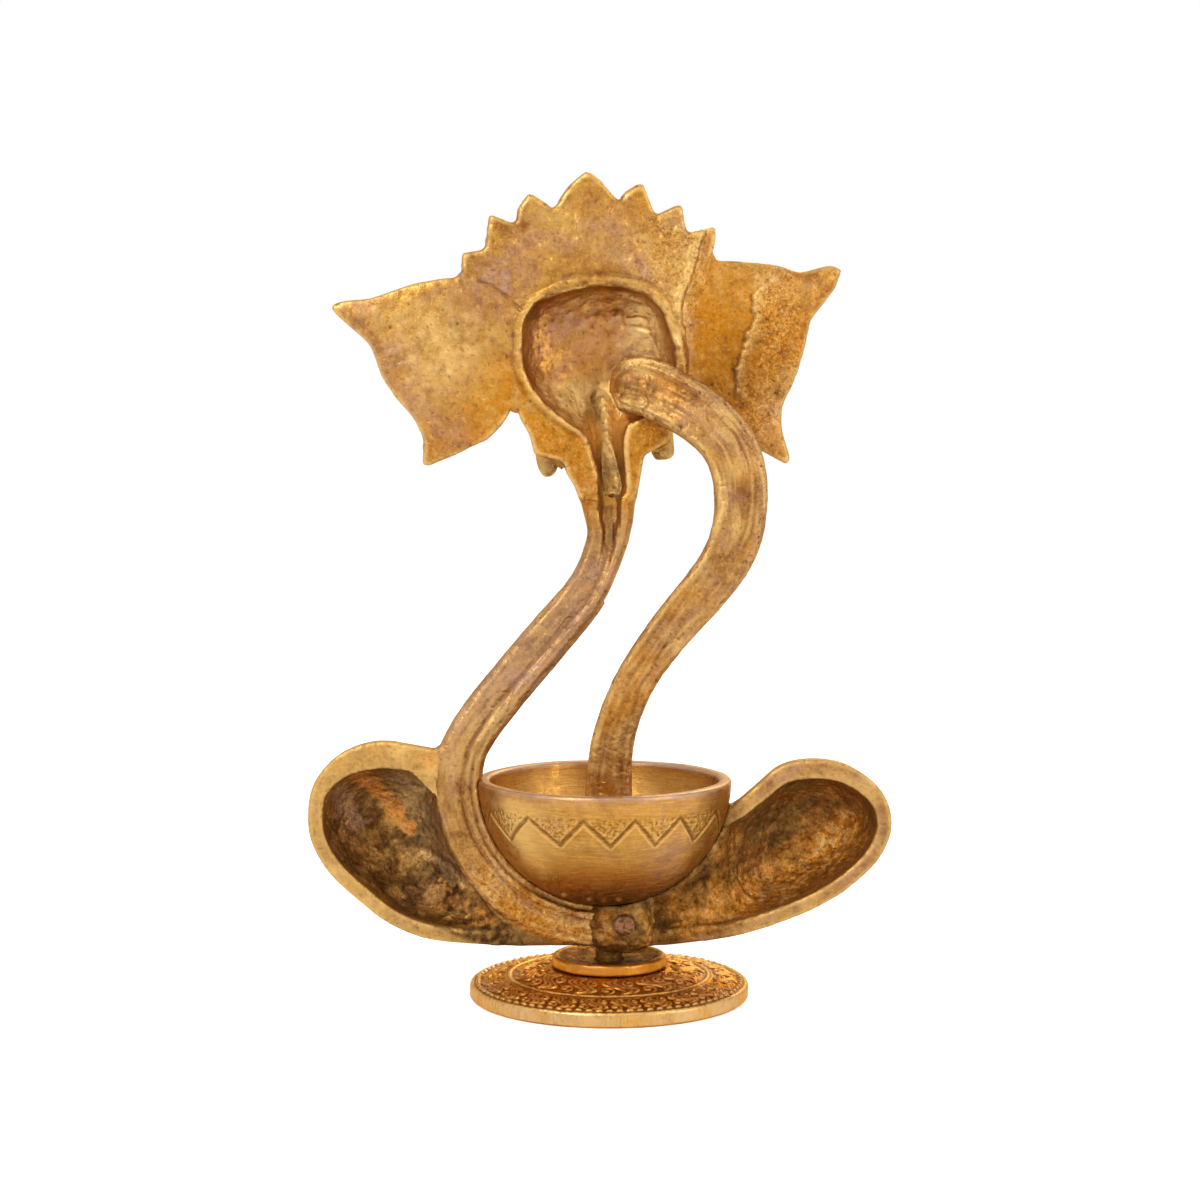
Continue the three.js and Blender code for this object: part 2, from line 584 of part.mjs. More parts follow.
function strutBar() {
  const floor = HEAD_BACK - (FACE_DEPTH - FACE_WALL);
  const start = headPoint(-cheek * 0.1, 0, -FACE_NECK * 0.15);
  const top = start.z - BOWL_Z;
  const inner = BOWL_R - BOWL_WALL;
  // [fraction of the height above the bowl's rim, of the swing, of the stand-off]
  const swing = [[0.985, 0.31, 0.2], [0.951, 0.515, 0.7], [0.906, 0.727, 0.93],
    [0.85, 0.894, 1], [0.783, 0.976, 1], [0.71, 0.997, 1], [0.636, 0.976, 1],
    [0.561, 0.891, 0.95], [0.496, 0.755, 0.88], [0.373, 0.442, 0.76], [0.246, 0.185, 0.6],
    [0.11, 0.036, 0.35], [0, 0, 0.15]];
  const path = [P(start.x, floor + STRUT_T / 2 + 1.2, start.z)];
  for (const [up, out, back] of swing)
    path.push(P(-STRUT_BULGE * out, STRUT_STANDOFF * back, BOWL_Z + top * up));
  path.push(P(0, 0, BOWL_Z - inner * 0.55), P(0.5, 0, BOWL_Z - inner - BOWL_WALL * 0.35));
  return sweep(path, 36, (t) => {
    const cap = Math.sqrt(1 - Math.max(0, 1 - t / 0.04) ** 2 * 0.93);
    // Broad at the shoulder, slim half way down and broad again in the bowl
    const slim = 1 - STRUT_SLIM * Math.exp(-(((t - 0.66) / 0.17) ** 2));
    const broad = 1 + STRUT_SLIM * Math.max(0, 1 - t / 0.45);
    const width = STRUT_W * cap * slim * broad;
    const groove = 0.75 * Math.min(1, t * 12);
    return barSection(width, STRUT_T * cap, [
      [-width * 0.2, 0.9 * cap, groove], [width * 0.2, 0.9 * cap, groove],
    ]);
  });
}

// Folded legs

// Outer edges as fractions of the leg's reach from the bowl's axis and of its height.
const legLeftEdge = [[0.36, 0], [0.61, 0.035], [0.74, 0.116], [0.81, 0.195], [0.93, 0.357],
  [0.987, 0.5], [1, 0.62], [0.982, 0.786], [0.894, 0.936], [0.77, 1], [0.66, 0.985]];
const legRightEdge = [[0.25, 0.012], [0.43, 0.04], [0.62, 0.126], [0.75, 0.212], [0.86, 0.32],
  [0.96, 0.475], [1, 0.65], [0.966, 0.826], [0.84, 0.973], [0.71, 1], [0.61, 0.965],
  [0.535, 0.87]];

// What each leg runs along on its inner side, as a radius about the bowl's axis, and the
// directions below the rim at which it starts and ends there. Each leg is drawn into its
// neighbour and cut clear of it, so the neighbour's side closes the hollow there.
const drawnInto = LEG_WALL + LEG_LAP;
const trunkOuter = BOWL_R + TRUNK_W - TRUNK_NEST + BRAZE_GAP;
// The left leg ends where the room between the trunk and the hub's underside is this low
const wedgeEnd = Math.asin((BOWL_Z - HUB_Z - LEG_TAIL_H) / trunkOuter);
const alongTrunk = {
  radius: trunkOuter - drawnInto,
  rimRoom: 0,
  from: -8,
  to: THREE.MathUtils.radToDeg(wedgeEnd),
};
const alongBowl = {
  radius: BOWL_R + BRAZE_GAP - drawnInto,
  rimRoom: LEG_RIM_ROOM + drawnInto,
  from: 10,
  to: 78,
};

function legShell(edge, span, high, side, along, brow) {
  const outline = edge.map(([x, z]) => [BOWL_X + side * x * span, HUB_Z + z * high]);
  const steps = 6;
  for (let k = 0; k <= steps; k++) {
    const down = along.from + ((along.to - along.from) * k) / steps;
    const r = along.radius + (k ? 0 : along.rimRoom);
    outline.push([BOWL_X + side * r * Math.cos(rad(down)), BOWL_Z - r * Math.sin(rad(down))]);
  }
  const last = outline[outline.length - 1];
  const foot = [last[0], HUB_Z];
  outline.push(foot);
  const middle = [BOWL_X + side * span * 0.72, HUB_Z + high * 0.53];
  const fromMiddle = ([x, z]) => [x - middle[0], z - middle[1]];
  const own = smooth(outline, 120).map(fromMiddle);
  const angles = directions(44, [last, foot].map(fromMiddle));
  const outer = angles.map((a) => reach(own, a));
  // The hollow's edge is the outer edge moved inwards by the wall, and lower under the brow
  const top = Math.max(...own.map(([, z]) => z));
  const hollow = own.map((p, i) => {
    const a = own[(i + own.length - 1) % own.length];
    const b = own[(i + 1) % own.length];
    const k = (side * LEG_WALL) / Math.hypot(b[0] - a[0], b[1] - a[1]);
    const lower = brow * Math.max(0, p[1] / top) ** 2;
    return [p[0] - k * (b[1] - a[1]), p[1] + k * (b[0] - a[0]) - lower];
  });
  const inner = angles.map((a) => Math.max(LEG_WALL / 2, reach(hollow, a)));
  // The hollow gets shallow where the leg nears the hub
  const shallow = (p) => {
    const out = Math.abs(p.x + middle[0] - BOWL_X) / span;
    return Math.min(1, Math.max(LEG_TAIL_DEPTH, (out - 0.3) / 0.3));
  };
  const at = (p, share) => P(p.x + middle[0], p.y * share + LEG_BACK, p.z + middle[1]);
  const outside = domeRings(outer, angles, 7, LEG_DEPTH, 2.4).map((r) => r.map((p) => at(p, 1)));
  const inside = domeRings(inner, angles, 6, LEG_DEPTH - LEG_WALL, 2.2)
    .map((r) => r.map((p) => at(p, shallow(p))));
  return loft([...outside.reverse(), ...inside]);
}

// The pieces, each cut clear of its neighbours

const stemRoom = turned(stemProfile(BRAZE_GAP), 32);
const hubRoom = hubBlock(BRAZE_GAP);
const bowlRoom = bowlBall(BRAZE_GAP);
const faceRoom = faceBody(BRAZE_GAP, true);
const crownRoom = crownPlate(2 * BRAZE_GAP, false);
const neckZ = headPoint(0, 0, -FACE_NECK).z;
const trunkRoom = trunkBar(BRAZE_GAP);

const lower = {
  base_plate: [basePlate(), "base"],
  base_collar: [baseCollar(), "base"],
  stem: [turned(stemProfile(0), 32), "hub"],
  hub: [hubBlock(0).subtract(bowlRoom).subtract(stemRoom), "hub"],
  braze_plug: [brazePlug().subtract(hubRoom), "braze"],
  bowl: [bowl(), "bowl"],
  trunk: [trunkBar(0).subtract(bowlRoom).subtract(hubRoom)
    .trimByPlane([0, 0, 1], HUB_Z).trimByPlane([0, 0, -1], -neckZ), "bar"],
  leg_left: [legShell(legLeftEdge, LEG_LEFT_REACH, LEG_LEFT_H, 1, alongTrunk, LEG_LEFT_BROW)
    .subtract(bowlRoom).subtract(trunkRoom).subtract(hubRoom).trimByPlane([0, 0, 1], HUB_Z), "leg"],
  leg_right: [legShell(legRightEdge, LEG_RIGHT_REACH, LEG_RIGHT_H, -1, alongBowl, LEG_RIGHT_BROW)
    .subtract(bowlRoom).subtract(hubRoom).trimByPlane([0, 0, 1], HUB_Z), "leg"],
  back_strut: [strutBar().subtract(bowl(BRAZE_GAP))
    .subtract(inPlace(faceBody(BRAZE_GAP, false))), "bar"],
};

// The level of the cut between the face and the trunk, in the head's own frame
const upInHead = P(0, 0, 1).applyQuaternion(headTurn.clone().invert());
const jawCut = neckZ + BRAZE_GAP - HEAD_Z;

const head = {
  face: [faceBody(0, false).trimByPlane(upInHead.toArray(), jawCut), "cast"],
  crown: [crownPlate(0, true).subtract(faceRoom), "cast"],
  ear_left: [ear(earLeftOutline, EAR_LEFT_SPAN, EAR_LEFT_STEP, 1)
    .subtract(faceRoom).subtract(crownRoom), "cast"],
  ear_right: [ear(earRightOutline, EAR_RIGHT_SPAN, EAR_RIGHT_STEP, -1)
    .subtract(faceRoom).subtract(crownRoom), "cast"],
  tusk_left: [tusk(1, TUSK_LEFT_L, false).subtract(faceRoom), "cast"],
  tusk_right: [tusk(-1, TUSK_RIGHT_L, true).subtract(faceRoom), "cast"],
};

const finishes = {
  cast: { color: 0xc08c3c, roughness: 0.45 },
  bar: { color: 0xb28446, roughness: 0.48 },
  leg: { color: 0xa67c3e, roughness: 0.55 },
  bowl: { color: 0xc8963c, roughness: 0.35 },
  base: { color: 0xa9743a, roughness: 0.4 },
  hub: { color: 0x8c6c38, roughness: 0.6 },
  braze: { color: 0xa2745c, roughness: 0.6 },
};

function piece(name, [body, finish]) {
  const { numProp, vertProperties, triVerts } = body.getMesh();
  const at = new Float32Array((vertProperties.length / numProp) * 3);
  for (let i = 0; i < at.length / 3; i++)
    at.set(vertProperties.subarray(i * numProp, i * numProp + 3), i * 3);
  const geometry = new THREE.BufferGeometry()
    .setAttribute("position", new THREE.BufferAttribute(at, 3))
    .setIndex(new THREE.BufferAttribute(new Uint32Array(triVerts), 1));
  geometry.computeVertexNormals();
  const material = new THREE.MeshStandardMaterial({ ...finishes[finish], metalness: 0.9 });
  const mesh = new THREE.Mesh(geometry, material);
  mesh.name = name;
  return mesh;
}

const group = new THREE.Group();
for (const [name, made] of Object.entries(lower)) group.add(piece(name, made));

const headGroup = new THREE.Group();
headGroup.position.copy(headAt);
headGroup.quaternion.copy(headTurn);
for (const [name, made] of Object.entries(head)) headGroup.add(piece(name, made));
group.add(headGroup);

export default group;
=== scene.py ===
"""A cast brass Ganesha oil lamp seen from behind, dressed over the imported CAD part.

Each cast piece is remade from its CAD solid: the solid's facets are rounded off, the brazed joints
are filled, and casting marks, grooves and relief are pressed into the surface. The turned pieces
are drawn again from their profiles. Lengths here are millimetres until a mesh goes to Blender,
which gets metres. X runs towards the figure's left ear, Y to the back that the camera sees.
"""

import math

import bpy
import numpy as np
import openvdb as vdb
from mathutils import Matrix, Vector


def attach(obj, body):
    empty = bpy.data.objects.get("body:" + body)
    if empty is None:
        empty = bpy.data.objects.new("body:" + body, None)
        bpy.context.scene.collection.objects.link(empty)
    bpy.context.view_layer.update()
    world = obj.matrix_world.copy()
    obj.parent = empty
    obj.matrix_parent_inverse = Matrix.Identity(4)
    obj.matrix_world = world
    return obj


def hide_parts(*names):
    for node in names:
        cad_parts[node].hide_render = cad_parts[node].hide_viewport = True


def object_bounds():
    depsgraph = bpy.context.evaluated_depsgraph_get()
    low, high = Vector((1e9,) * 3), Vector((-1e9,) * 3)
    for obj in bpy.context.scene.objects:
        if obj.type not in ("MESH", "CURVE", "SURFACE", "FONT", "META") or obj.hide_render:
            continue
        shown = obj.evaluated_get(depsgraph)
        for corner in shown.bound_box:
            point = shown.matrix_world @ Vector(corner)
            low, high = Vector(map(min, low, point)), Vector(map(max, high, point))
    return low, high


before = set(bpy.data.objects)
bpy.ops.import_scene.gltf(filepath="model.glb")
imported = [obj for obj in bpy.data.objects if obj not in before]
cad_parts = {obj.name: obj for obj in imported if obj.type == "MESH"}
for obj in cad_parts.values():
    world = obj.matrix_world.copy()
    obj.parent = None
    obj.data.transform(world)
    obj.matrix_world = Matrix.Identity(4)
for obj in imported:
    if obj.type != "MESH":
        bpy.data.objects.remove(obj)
cad_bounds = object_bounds()

MM = 0.001

# How the castings are remade
VOXEL = 0.4
BAND = 8  # voxels kept on each side of a surface
FILLET = 0.8
JOINT_FILLET = 2.2  # where two pieces are brazed together
ROUNDING = 0.25
SMOOTH_ANGLE = math.radians(40)
OVERLAP = 0.8  # how far one casting runs on under its neighbour
JOINT_NEAR, JOINT_FAR = 0.8, 2.6  # distances over which a joint's filling fades
PARTS = 4  # each facet's edge is cut into this many
# Edges and lows are measured so that the shader paints highlight on swellings and shade in creases and lows
EDGE_BLUR, DEEP_BLUR = 2, 7  # voxels over which edges and lows are judged
EDGE_FULL, DEEP_FULL = 0.35, 1.6  # how much swelling or hollow counts as 1


def cad_mesh(name):
    """A CAD node's welded points and triangles."""
    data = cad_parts[name].data
    co = np.empty(len(data.vertices) * 3, np.float32)
    data.vertices.foreach_get("co", co)
    data.calc_loop_triangles()
    tri = np.empty(len(data.loop_triangles) * 3, np.int32)
    data.loop_triangles.foreach_get("vertices", tri)
    points, index = np.unique(np.round(co.reshape(-1, 3) / MM, 3), axis=0, return_inverse=True)
    tri = index.reshape(-1)[tri].reshape(-1, 3)
    kept = (tri[:, 0] != tri[:, 1]) & (tri[:, 1] != tri[:, 2]) & (tri[:, 2] != tri[:, 0])
    return points, tri[kept]


def extent(name):
    """The lower and upper corner of a CAD node's box."""
    points = cad_mesh(name)[0]
    return points.min(axis=0), points.max(axis=0)


# Sizes read from the solids
bowl_low, bowl_high = extent("bowl")
BOWL_R = (bowl_high[0] - bowl_low[0]) / 2
BOWL_X = (bowl_high[0] + bowl_low[0]) / 2
BOWL_Z = bowl_high[2]
BASE_R = extent("base_plate")[1][0]
SEAT_Z = extent("base_plate")[1][2]
COLLAR_R = extent("base_collar")[1][0]
COLLAR_TOP = extent("base_collar")[1][2]
STEM_R = extent("stem")[1][0]
HUB_Z = extent("hub")[0][2]
plug_low, plug_high = extent("braze_plug")
LEG_RIM_Y = extent("leg_left")[1][1]

# Sizes that the solids' boxes don't show
BOWL_WALL = 3.2
BASE_EDGE_H = 4.0
COLLAR_DISH = 1.3
SOCKET_R = STEM_R + 0.3  # the hole that the stem stands in
ZIGZAG_REPEATS = 14
ZIGZAG_DROP, ZIGZAG_H, ZIGZAG_HALF = 9.4, 6.6, 0.62
# The zigzag's turns are uneven where it was cut by eye: degrees from the back, and repeats there
ZIGZAG_TURNS = ([-180, -51.8, -21.4, 2.8, 24.7, 48, 180], [-7.0, -2, -1, 0, 1, 2, 7])
# The base's ornament, with places as shares of its radius
ROPE_AT, ROPE_TEETH = 0.948, 84
LEDGE_FROM, LEDGE_TO = 0.968, 0.976
RING_AT, LINE_AT = 0.715, 0.742
SCROLL_BANDS = [(0.445, 0.69, 13), (0.75, 0.925, 24)]  # from, to, repeats
SOLDER = [(11.3, 27.6), (4.9, 28.4), (1.4, 28.8), (-2.3, 28.5)]  # drops under the bowl: x, drop
HEAD_AT = np.array([2.0, 3.0, 163.0])
HEAD_TILT, HEAD_YAW = math.radians(4.3), math.radians(6)
CHEEK, FACE_TOP = 22.0, 22.0  # the face's half width, and its height above its middle
CHANNEL_X = -0.2  # middle of the mask's channel above the trunk
CHANNEL_HALF, CHANNEL_JOINT = 2.9, 129.2  # its half width, and where mask and trunk meet
CAST_FLOOR = ([116, 122, 128, 129.2, 131, 137, 144], [0.4, -0.6, -1.4, -4.2, -4.6, -6.5, -8.0])
CHANNEL_FLOOR = ([116, 122, 125, 129.5, 144], [0.6, -0.6, -1.1, -1.6, -8.0])  # z, y as it looks
EAR_DROP = 1.8  # how far the right ear's back lies below the crown's


# Noise and small helpers

RNG = np.random.default_rng(11)
PERM = RNG.permutation(256)
GRAD = RNG.normal(size=(256, 3))
GRAD /= np.linalg.norm(GRAD, axis=1, keepdims=True)


def noise(p, size, seed=0):
    """Smooth noise of about -1 to 1, with swellings of about the given size."""
    q = p / size + seed * 17.31
    cell = np.floor(q).astype(int)
    f = q - cell
    u = f * f * f * (f * (f * 6 - 15) + 10)
    out = np.zeros(len(p))
    for corner in np.ndindex(2, 2, 2):
        at = cell + corner
        h = PERM[(PERM[(PERM[at[:, 0] & 255] + at[:, 1]) & 255] + at[:, 2]) & 255]
        w = np.prod(np.where(corner, u, 1 - u), axis=1)
        out += w * np.einsum("ij,ij->i", GRAD[h], f - corner)
    return out * 1.7


def rough(p, size, octaves=3, seed=0):
    """Noise with finer and finer noise added to it."""
    return sum(noise(p, size / 2**k, seed + k) / 2**k for k in range(octaves))


def step(x, low, high):
    """0 below a low value and 1 above a high one, with an even passage between."""
    t = np.clip((x - low) / (high - low), 0, 1)
    return t * t * (3 - 2 * t)


def hump(distance, half):
    """1 at a distance of 0, falling away over about a half width."""
    return np.exp(-((distance / half) ** 2))


def near_line(x, z, line):
    """Distance from points to a line through [x, z] points."""
    best = np.full(len(x), 1e9)
    for (x0, z0), (x1, z1) in zip(line, line[1:]):
        dx, dz = x1 - x0, z1 - z0
        t = np.clip(((x - x0) * dx + (z - z0) * dz) / (dx * dx + dz * dz), 0, 1)
        best = np.minimum(best, np.hypot(x - x0 - t * dx, z - z0 - t * dz))
    return best


def lengths(line):
    """How far along a line each of its points lies."""
    return np.concatenate([[0], np.cumsum(np.hypot(*np.diff(line, axis=0).T))])


PATH_POINTS, PATH_SOFTENING = 400, 12
CHUNK = 20000  # points measured against a path at once


def on_path(points, line):
    """How far along a path, and how far across it, points lie when seen from behind."""
    line = np.array(line)
    reach = lengths(line)
    fine = np.linspace(0, reach[-1], PATH_POINTS)
    px, pz = np.interp(fine, reach, line[:, 0]), np.interp(fine, reach, line[:, 1])
    for _ in range(PATH_SOFTENING):
        px[1:-1] = (px[:-2] + px[2:]) / 2
        pz[1:-1] = (pz[:-2] + pz[2:]) / 2
    tx, tz = np.gradient(px), np.gradient(pz)
    size = np.hypot(tx, tz)
    x, z = points[:, 0], points[:, 2]
    index = np.empty(len(points), int)
    for start in range(0, len(points), CHUNK):
        part = slice(start, start + CHUNK)
        index[part] = np.argmin((x[part, None] - px) ** 2 + (z[part, None] - pz) ** 2, axis=1)
    dx, dz = x - px[index], z - pz[index]
    across = (dx * tz[index] - dz * tx[index]) / size[index]
    along = fine[index] + (dx * tx[index] + dz * tz[index]) / size[index]
    return along, across


def corner_normals(points, tri):
    """Each triangle's three normals, smoothed over edges that aren't sharp."""
    data = bpy.data.meshes.new("smoothing")
    data.from_pydata(points.tolist(), [], tri.tolist())
    data.set_sharp_from_angle(angle=SMOOTH_ANGLE)
    out = np.empty(len(tri) * 9, np.float32)
    data.corner_normals.foreach_get("vector", out)
    bpy.data.meshes.remove(data)
    return out.reshape(-1, 3, 3)


def rounded(points, tri):
    """The solid's facets swelled into curved patches, with the seams between patches closed."""
    corner = points[tri]
    normal = corner_normals(points, tri)

    def towards(i, j):
        w = np.einsum("ij,ij->i", corner[:, j] - corner[:, i], normal[:, i])
        return (2 * corner[:, i] + corner[:, j] - w[:, None] * normal[:, i]) / 3

    b = {(i, j): towards(i, j) for i, j in ((0, 1), (1, 0), (1, 2), (2, 1), (2, 0), (0, 2))}
    mid = sum(b.values()) / 6
    mid = mid + (mid - corner.mean(axis=1)) / 2

    def patch(u, v, w):
        return (corner[:, 0] * u**3 + corner[:, 1] * v**3 + corner[:, 2] * w**3
                + 3 * (b[0, 1] * u * u * v + b[1, 0] * u * v * v + b[1, 2] * v * v * w
                       + b[2, 1] * v * w * w + b[2, 0] * u * w * w + b[0, 2] * u * u * w)
                + 6 * mid * u * v * w)

    grid = {}
    made = []
    for i in range(PARTS + 1):
        for j in range(PARTS + 1 - i):
            grid[i, j] = len(made)
            made.append(patch(1 - (i + j) / PARTS, i / PARTS, j / PARTS))
    faces = []
    for i in range(PARTS):
        for j in range(PARTS - i):
            faces.append((grid[i, j], grid[i + 1, j], grid[i, j + 1]))
            if i + j < PARTS - 1:
                faces.append((grid[i + 1, j], grid[i + 1, j + 1], grid[i, j + 1]))
    count, each = len(tri), len(made)
    out = np.stack(made, axis=1).reshape(-1, 3)
    start = (np.arange(count) * each)[:, None, None]
    out_tri = (start + np.array(faces)[None]).reshape(-1, 3)

    # The two patches beside a sharp edge bulge differently, so a strip joins their borders
    side = [[grid[i, 0] for i in range(PARTS + 1)],
            [grid[PARTS - j, j] for j in range(PARTS + 1)],
            [grid[0, PARTS - j] for j in range(PARTS + 1)]]
    ends = {}
    strips = []
    for k, (a, c) in enumerate(((0, 1), (1, 2), (2, 0))):
        for t in range(count):
            ends[tri[t, a], tri[t, c]] = (t, k)
    for (a, c), (t, k) in ends.items():
        other = ends.get((c, a))
        if a < c and other:
            mine = [t * each + g for g in side[k]]
            yours = [other[0] * each + g for g in reversed(side[other[1]])]
            if np.abs(out[mine] - out[yours]).max() > 1e-3:
                for m in range(PARTS):
                    strips.append((mine[m], yours[m], mine[m + 1]))
                    strips.append((mine[m + 1], yours[m], yours[m + 1]))
    if strips:
        out_tri = np.vstack([out_tri, np.array(strips)])
    return out, out_tri


def level_set(points, tri=None, quads=None):
    """A closed surface as a grid of distances to it."""
    return vdb.FloatGrid.createLevelSetFromPolygons(
        np.ascontiguousarray(points, np.float32),
        triangles=None if tri is None or not len(tri) else np.ascontiguousarray(tri, np.uint32),
        quads=None if quads is None or not len(quads) else np.ascontiguousarray(quads, np.uint32),
        transform=vdb.createLinearTransform(voxelSize=VOXEL), halfWidth=float(BAND))


def offset(grid, by):
    """The surface moved outwards by a length, measured afresh."""
    points, tri, quads = grid.convertToPolygons(isovalue=by, adaptivity=0.0)
    return level_set(points, tri, quads)


def values(grid, low, shape):
    """A grid's distances as an array, for the voxels from a low corner on."""
    out = np.empty(shape, np.float32)
    grid.copyToArray(out, ijk=tuple(int(v) for v in low))
    return out


def blurred(field, radius):
    """A box blur, run twice along each axis."""
    out = field.astype(np.float64)
    for _ in range(2):
        for axis in range(3):
            width = [(0, 0)] * 3
            width[axis] = (radius + 1, radius)
            run = np.cumsum(np.pad(out, width, mode="edge"), axis=axis)
            n = out.shape[axis]
            high = np.take(run, np.arange(2 * radius + 1, 2 * radius + 1 + n), axis=axis)
            low = np.take(run, np.arange(n), axis=axis)
            out = (high - low) / (2 * radius + 1)
    return out


def sampled(field, low, points):
    """The field's value at points, between its voxels."""
    q = points / VOXEL - low
    cell = np.clip(np.floor(q).astype(int), 0, np.array(field.shape) - 2)
    f = np.clip(q - cell, 0, 1)
    out = np.zeros(len(points))
    for corner in np.ndindex(2, 2, 2):
        at = cell + corner
        out += np.prod(np.where(corner, f, 1 - f), axis=1) * field[at[:, 0], at[:, 1], at[:, 2]]
    return out


def vertex_normals(points, quads):
    """Each point's normal, as the mean of its faces' by their area."""
    a, b = points[quads[:, 2]] - points[quads[:, 0]], points[quads[:, 3]] - points[quads[:, 1]]
    n = np.cross(a, b)
    out = np.zeros_like(points)
    for k in range(4):
        for axis in range(3):
            out[:, axis] += np.bincount(quads[:, k], n[:, axis], len(points))
    return out / np.maximum(np.linalg.norm(out, axis=1, keepdims=True), 1e-12)


SETTLE = [0.5, -0.52]  # moves towards the neighbours' mean and out again, so that nothing shrinks


class Surface:
    """A piece's surface while it is worked on: points, four-sided faces, paint values by name."""

    def __init__(self, name, points, faces):
        self.name, self.points, self.faces = name, points, faces
        self.paint = {}
        self.normals = vertex_normals(points, faces)

    def push(self, height):
        """Moves the points outwards by a height of their own."""
        self.points = self.points + self.normals * np.asarray(height)[:, None]
        self.normals = vertex_normals(self.points, self.faces)

    def add(self, name, value):
        """More of one paint, which stays between 0 and 1."""
        before = self.paint.get(name, np.zeros(len(self.points)))
        self.paint[name] = np.clip(before + value, 0, 1)

    def lift(self, height):
        """Moves the points straight back, towards the camera, and evens out what that stretches."""
        self.points = self.points + np.stack([0 * height, height, 0 * height], axis=1)
        self.settle(2)

    def settle(self, rounds):
        """Evens out the mesh's own grain."""
        pairs = np.vstack([self.faces[:, [k, (k + 1) % 4]] for k in range(4)])
        n = len(self.points)
        degree = np.bincount(pairs[:, 0], minlength=n) + np.bincount(pairs[:, 1], minlength=n)
        for move in SETTLE * rounds:
            total = np.zeros_like(self.points)
            for axis in range(3):
                p = self.points[:, axis]
                total[:, axis] = (np.bincount(pairs[:, 0], p[pairs[:, 1]], n)
                                  + np.bincount(pairs[:, 1], p[pairs[:, 0]], n))
            mean = total / np.maximum(degree, 1)[:, None]
            self.points = self.points + move * (mean - self.points)
        self.normals = vertex_normals(self.points, self.faces)


CAST = ["face", "crown", "ear_left", "ear_right", "tusk_left", "tusk_right",
        "trunk", "leg_left", "leg_right", "hub"]


def surface_of(name, field, low):
    """The surface where a field is zero, with its edges and lows measured for painted highlight and shade.
    """
    grid = vdb.FloatGrid(BAND * VOXEL)
    grid.copyFromArray(np.ascontiguousarray(field, np.float32), ijk=tuple(int(v) for v in low))
    grid.transform = vdb.createLinearTransform(voxelSize=VOXEL)
    points, _, quads = grid.convertToPolygons(isovalue=0.0, adaptivity=0.0)
    surface = Surface(name, np.asarray(points, np.float64), np.asarray(quads, np.int64))
    surface.settle(2)
    # edge: painted highlight where the surface swells, painted shade where it creases; deep: painted shade
    # in the lows
    swell = sampled(blurred(field, EDGE_BLUR), low, surface.points)
    surface.paint["edge"] = np.clip(swell / EDGE_FULL, -1, 1)
    swell = sampled(blurred(field, DEEP_BLUR), low, surface.points)
    surface.paint["deep"] = np.clip(-swell / DEEP_FULL, -1, 1)
    return surface


def room_of(points):
    """The low voxel and the shape of an array that holds points with a band around them."""
    low = np.floor(points.min(0) / VOXEL).astype(int) - BAND
    return low, tuple(int(v) for v in np.ceil(points.max(0) / VOXEL).astype(int) + BAND - low)


def castings():
    """The cast pieces as one continuous surface, parted again where one piece meets the next."""
    solid = {name: rounded(*cad_mesh(name)) for name in CAST}
    own = {name: level_set(*solid[name]) for name in CAST}
    points = np.vstack([solid[n][0] for n in CAST])
    starts = np.cumsum([0] + [len(solid[n][0]) for n in CAST])
    together = level_set(points, np.vstack([solid[n][1] + s for n, s in zip(CAST, starts)]))
    whole = offset(offset(together, FILLET), -FILLET - ROUNDING)
    whole = offset(whole, ROUNDING)
    filled = offset(offset(together, JOINT_FILLET), -JOINT_FILLET)
    far = BAND * VOXEL
    made = {}
    for name in CAST:
        low, shape = room_of(solid[name][0])
        mine = values(own[name], low, shape)
        others = np.full(shape, far, np.float32)
        for other in CAST:
            if other != name:
                others = np.minimum(others, values(own[other], low, shape))
        beyond = (mine - others).astype(np.float64)
        field = values(whole, low, shape).astype(np.float64)
        joint = 1 - step(np.maximum(mine, others), JOINT_NEAR, JOINT_FAR)
        field += joint * np.minimum(values(filled, low, shape) - field, 0)
        cut = np.maximum(field + 0.5 * np.maximum(beyond, 0), beyond - 2 * OVERLAP)
        made[name] = surface_of(name, cut, low)
        made[name].paint["edge"] *= 1 - 0.9 * sampled(joint, low, made[name].points)
    return made


def alone(name):
    """One piece remade by itself, with its narrow grooves half filled."""
    points, tri = rounded(*cad_mesh(name))
    grid = offset(offset(level_set(points, tri), JOINT_FILLET), -JOINT_FILLET - ROUNDING)
    low, shape = room_of(points)
    return surface_of(name, values(offset(grid, ROUNDING), low, shape).astype(np.float64), low)


# Turned pieces

def resampled(corners, spacing, soft):
    """A profile's corners joined by points at an even spacing, with its corners softened."""
    corners = np.array(corners, float)
    reach = lengths(corners)
    at = np.linspace(0, reach[-1], max(2, int(reach[-1] / spacing)) + 1)
    out = np.stack([np.interp(at, reach, corners[:, k]) for k in (0, 1)], axis=1)
    for _ in range(soft):
        out[1:-1] = (out[:-2] + 2 * out[1:-1] + out[2:]) / 4
    return out


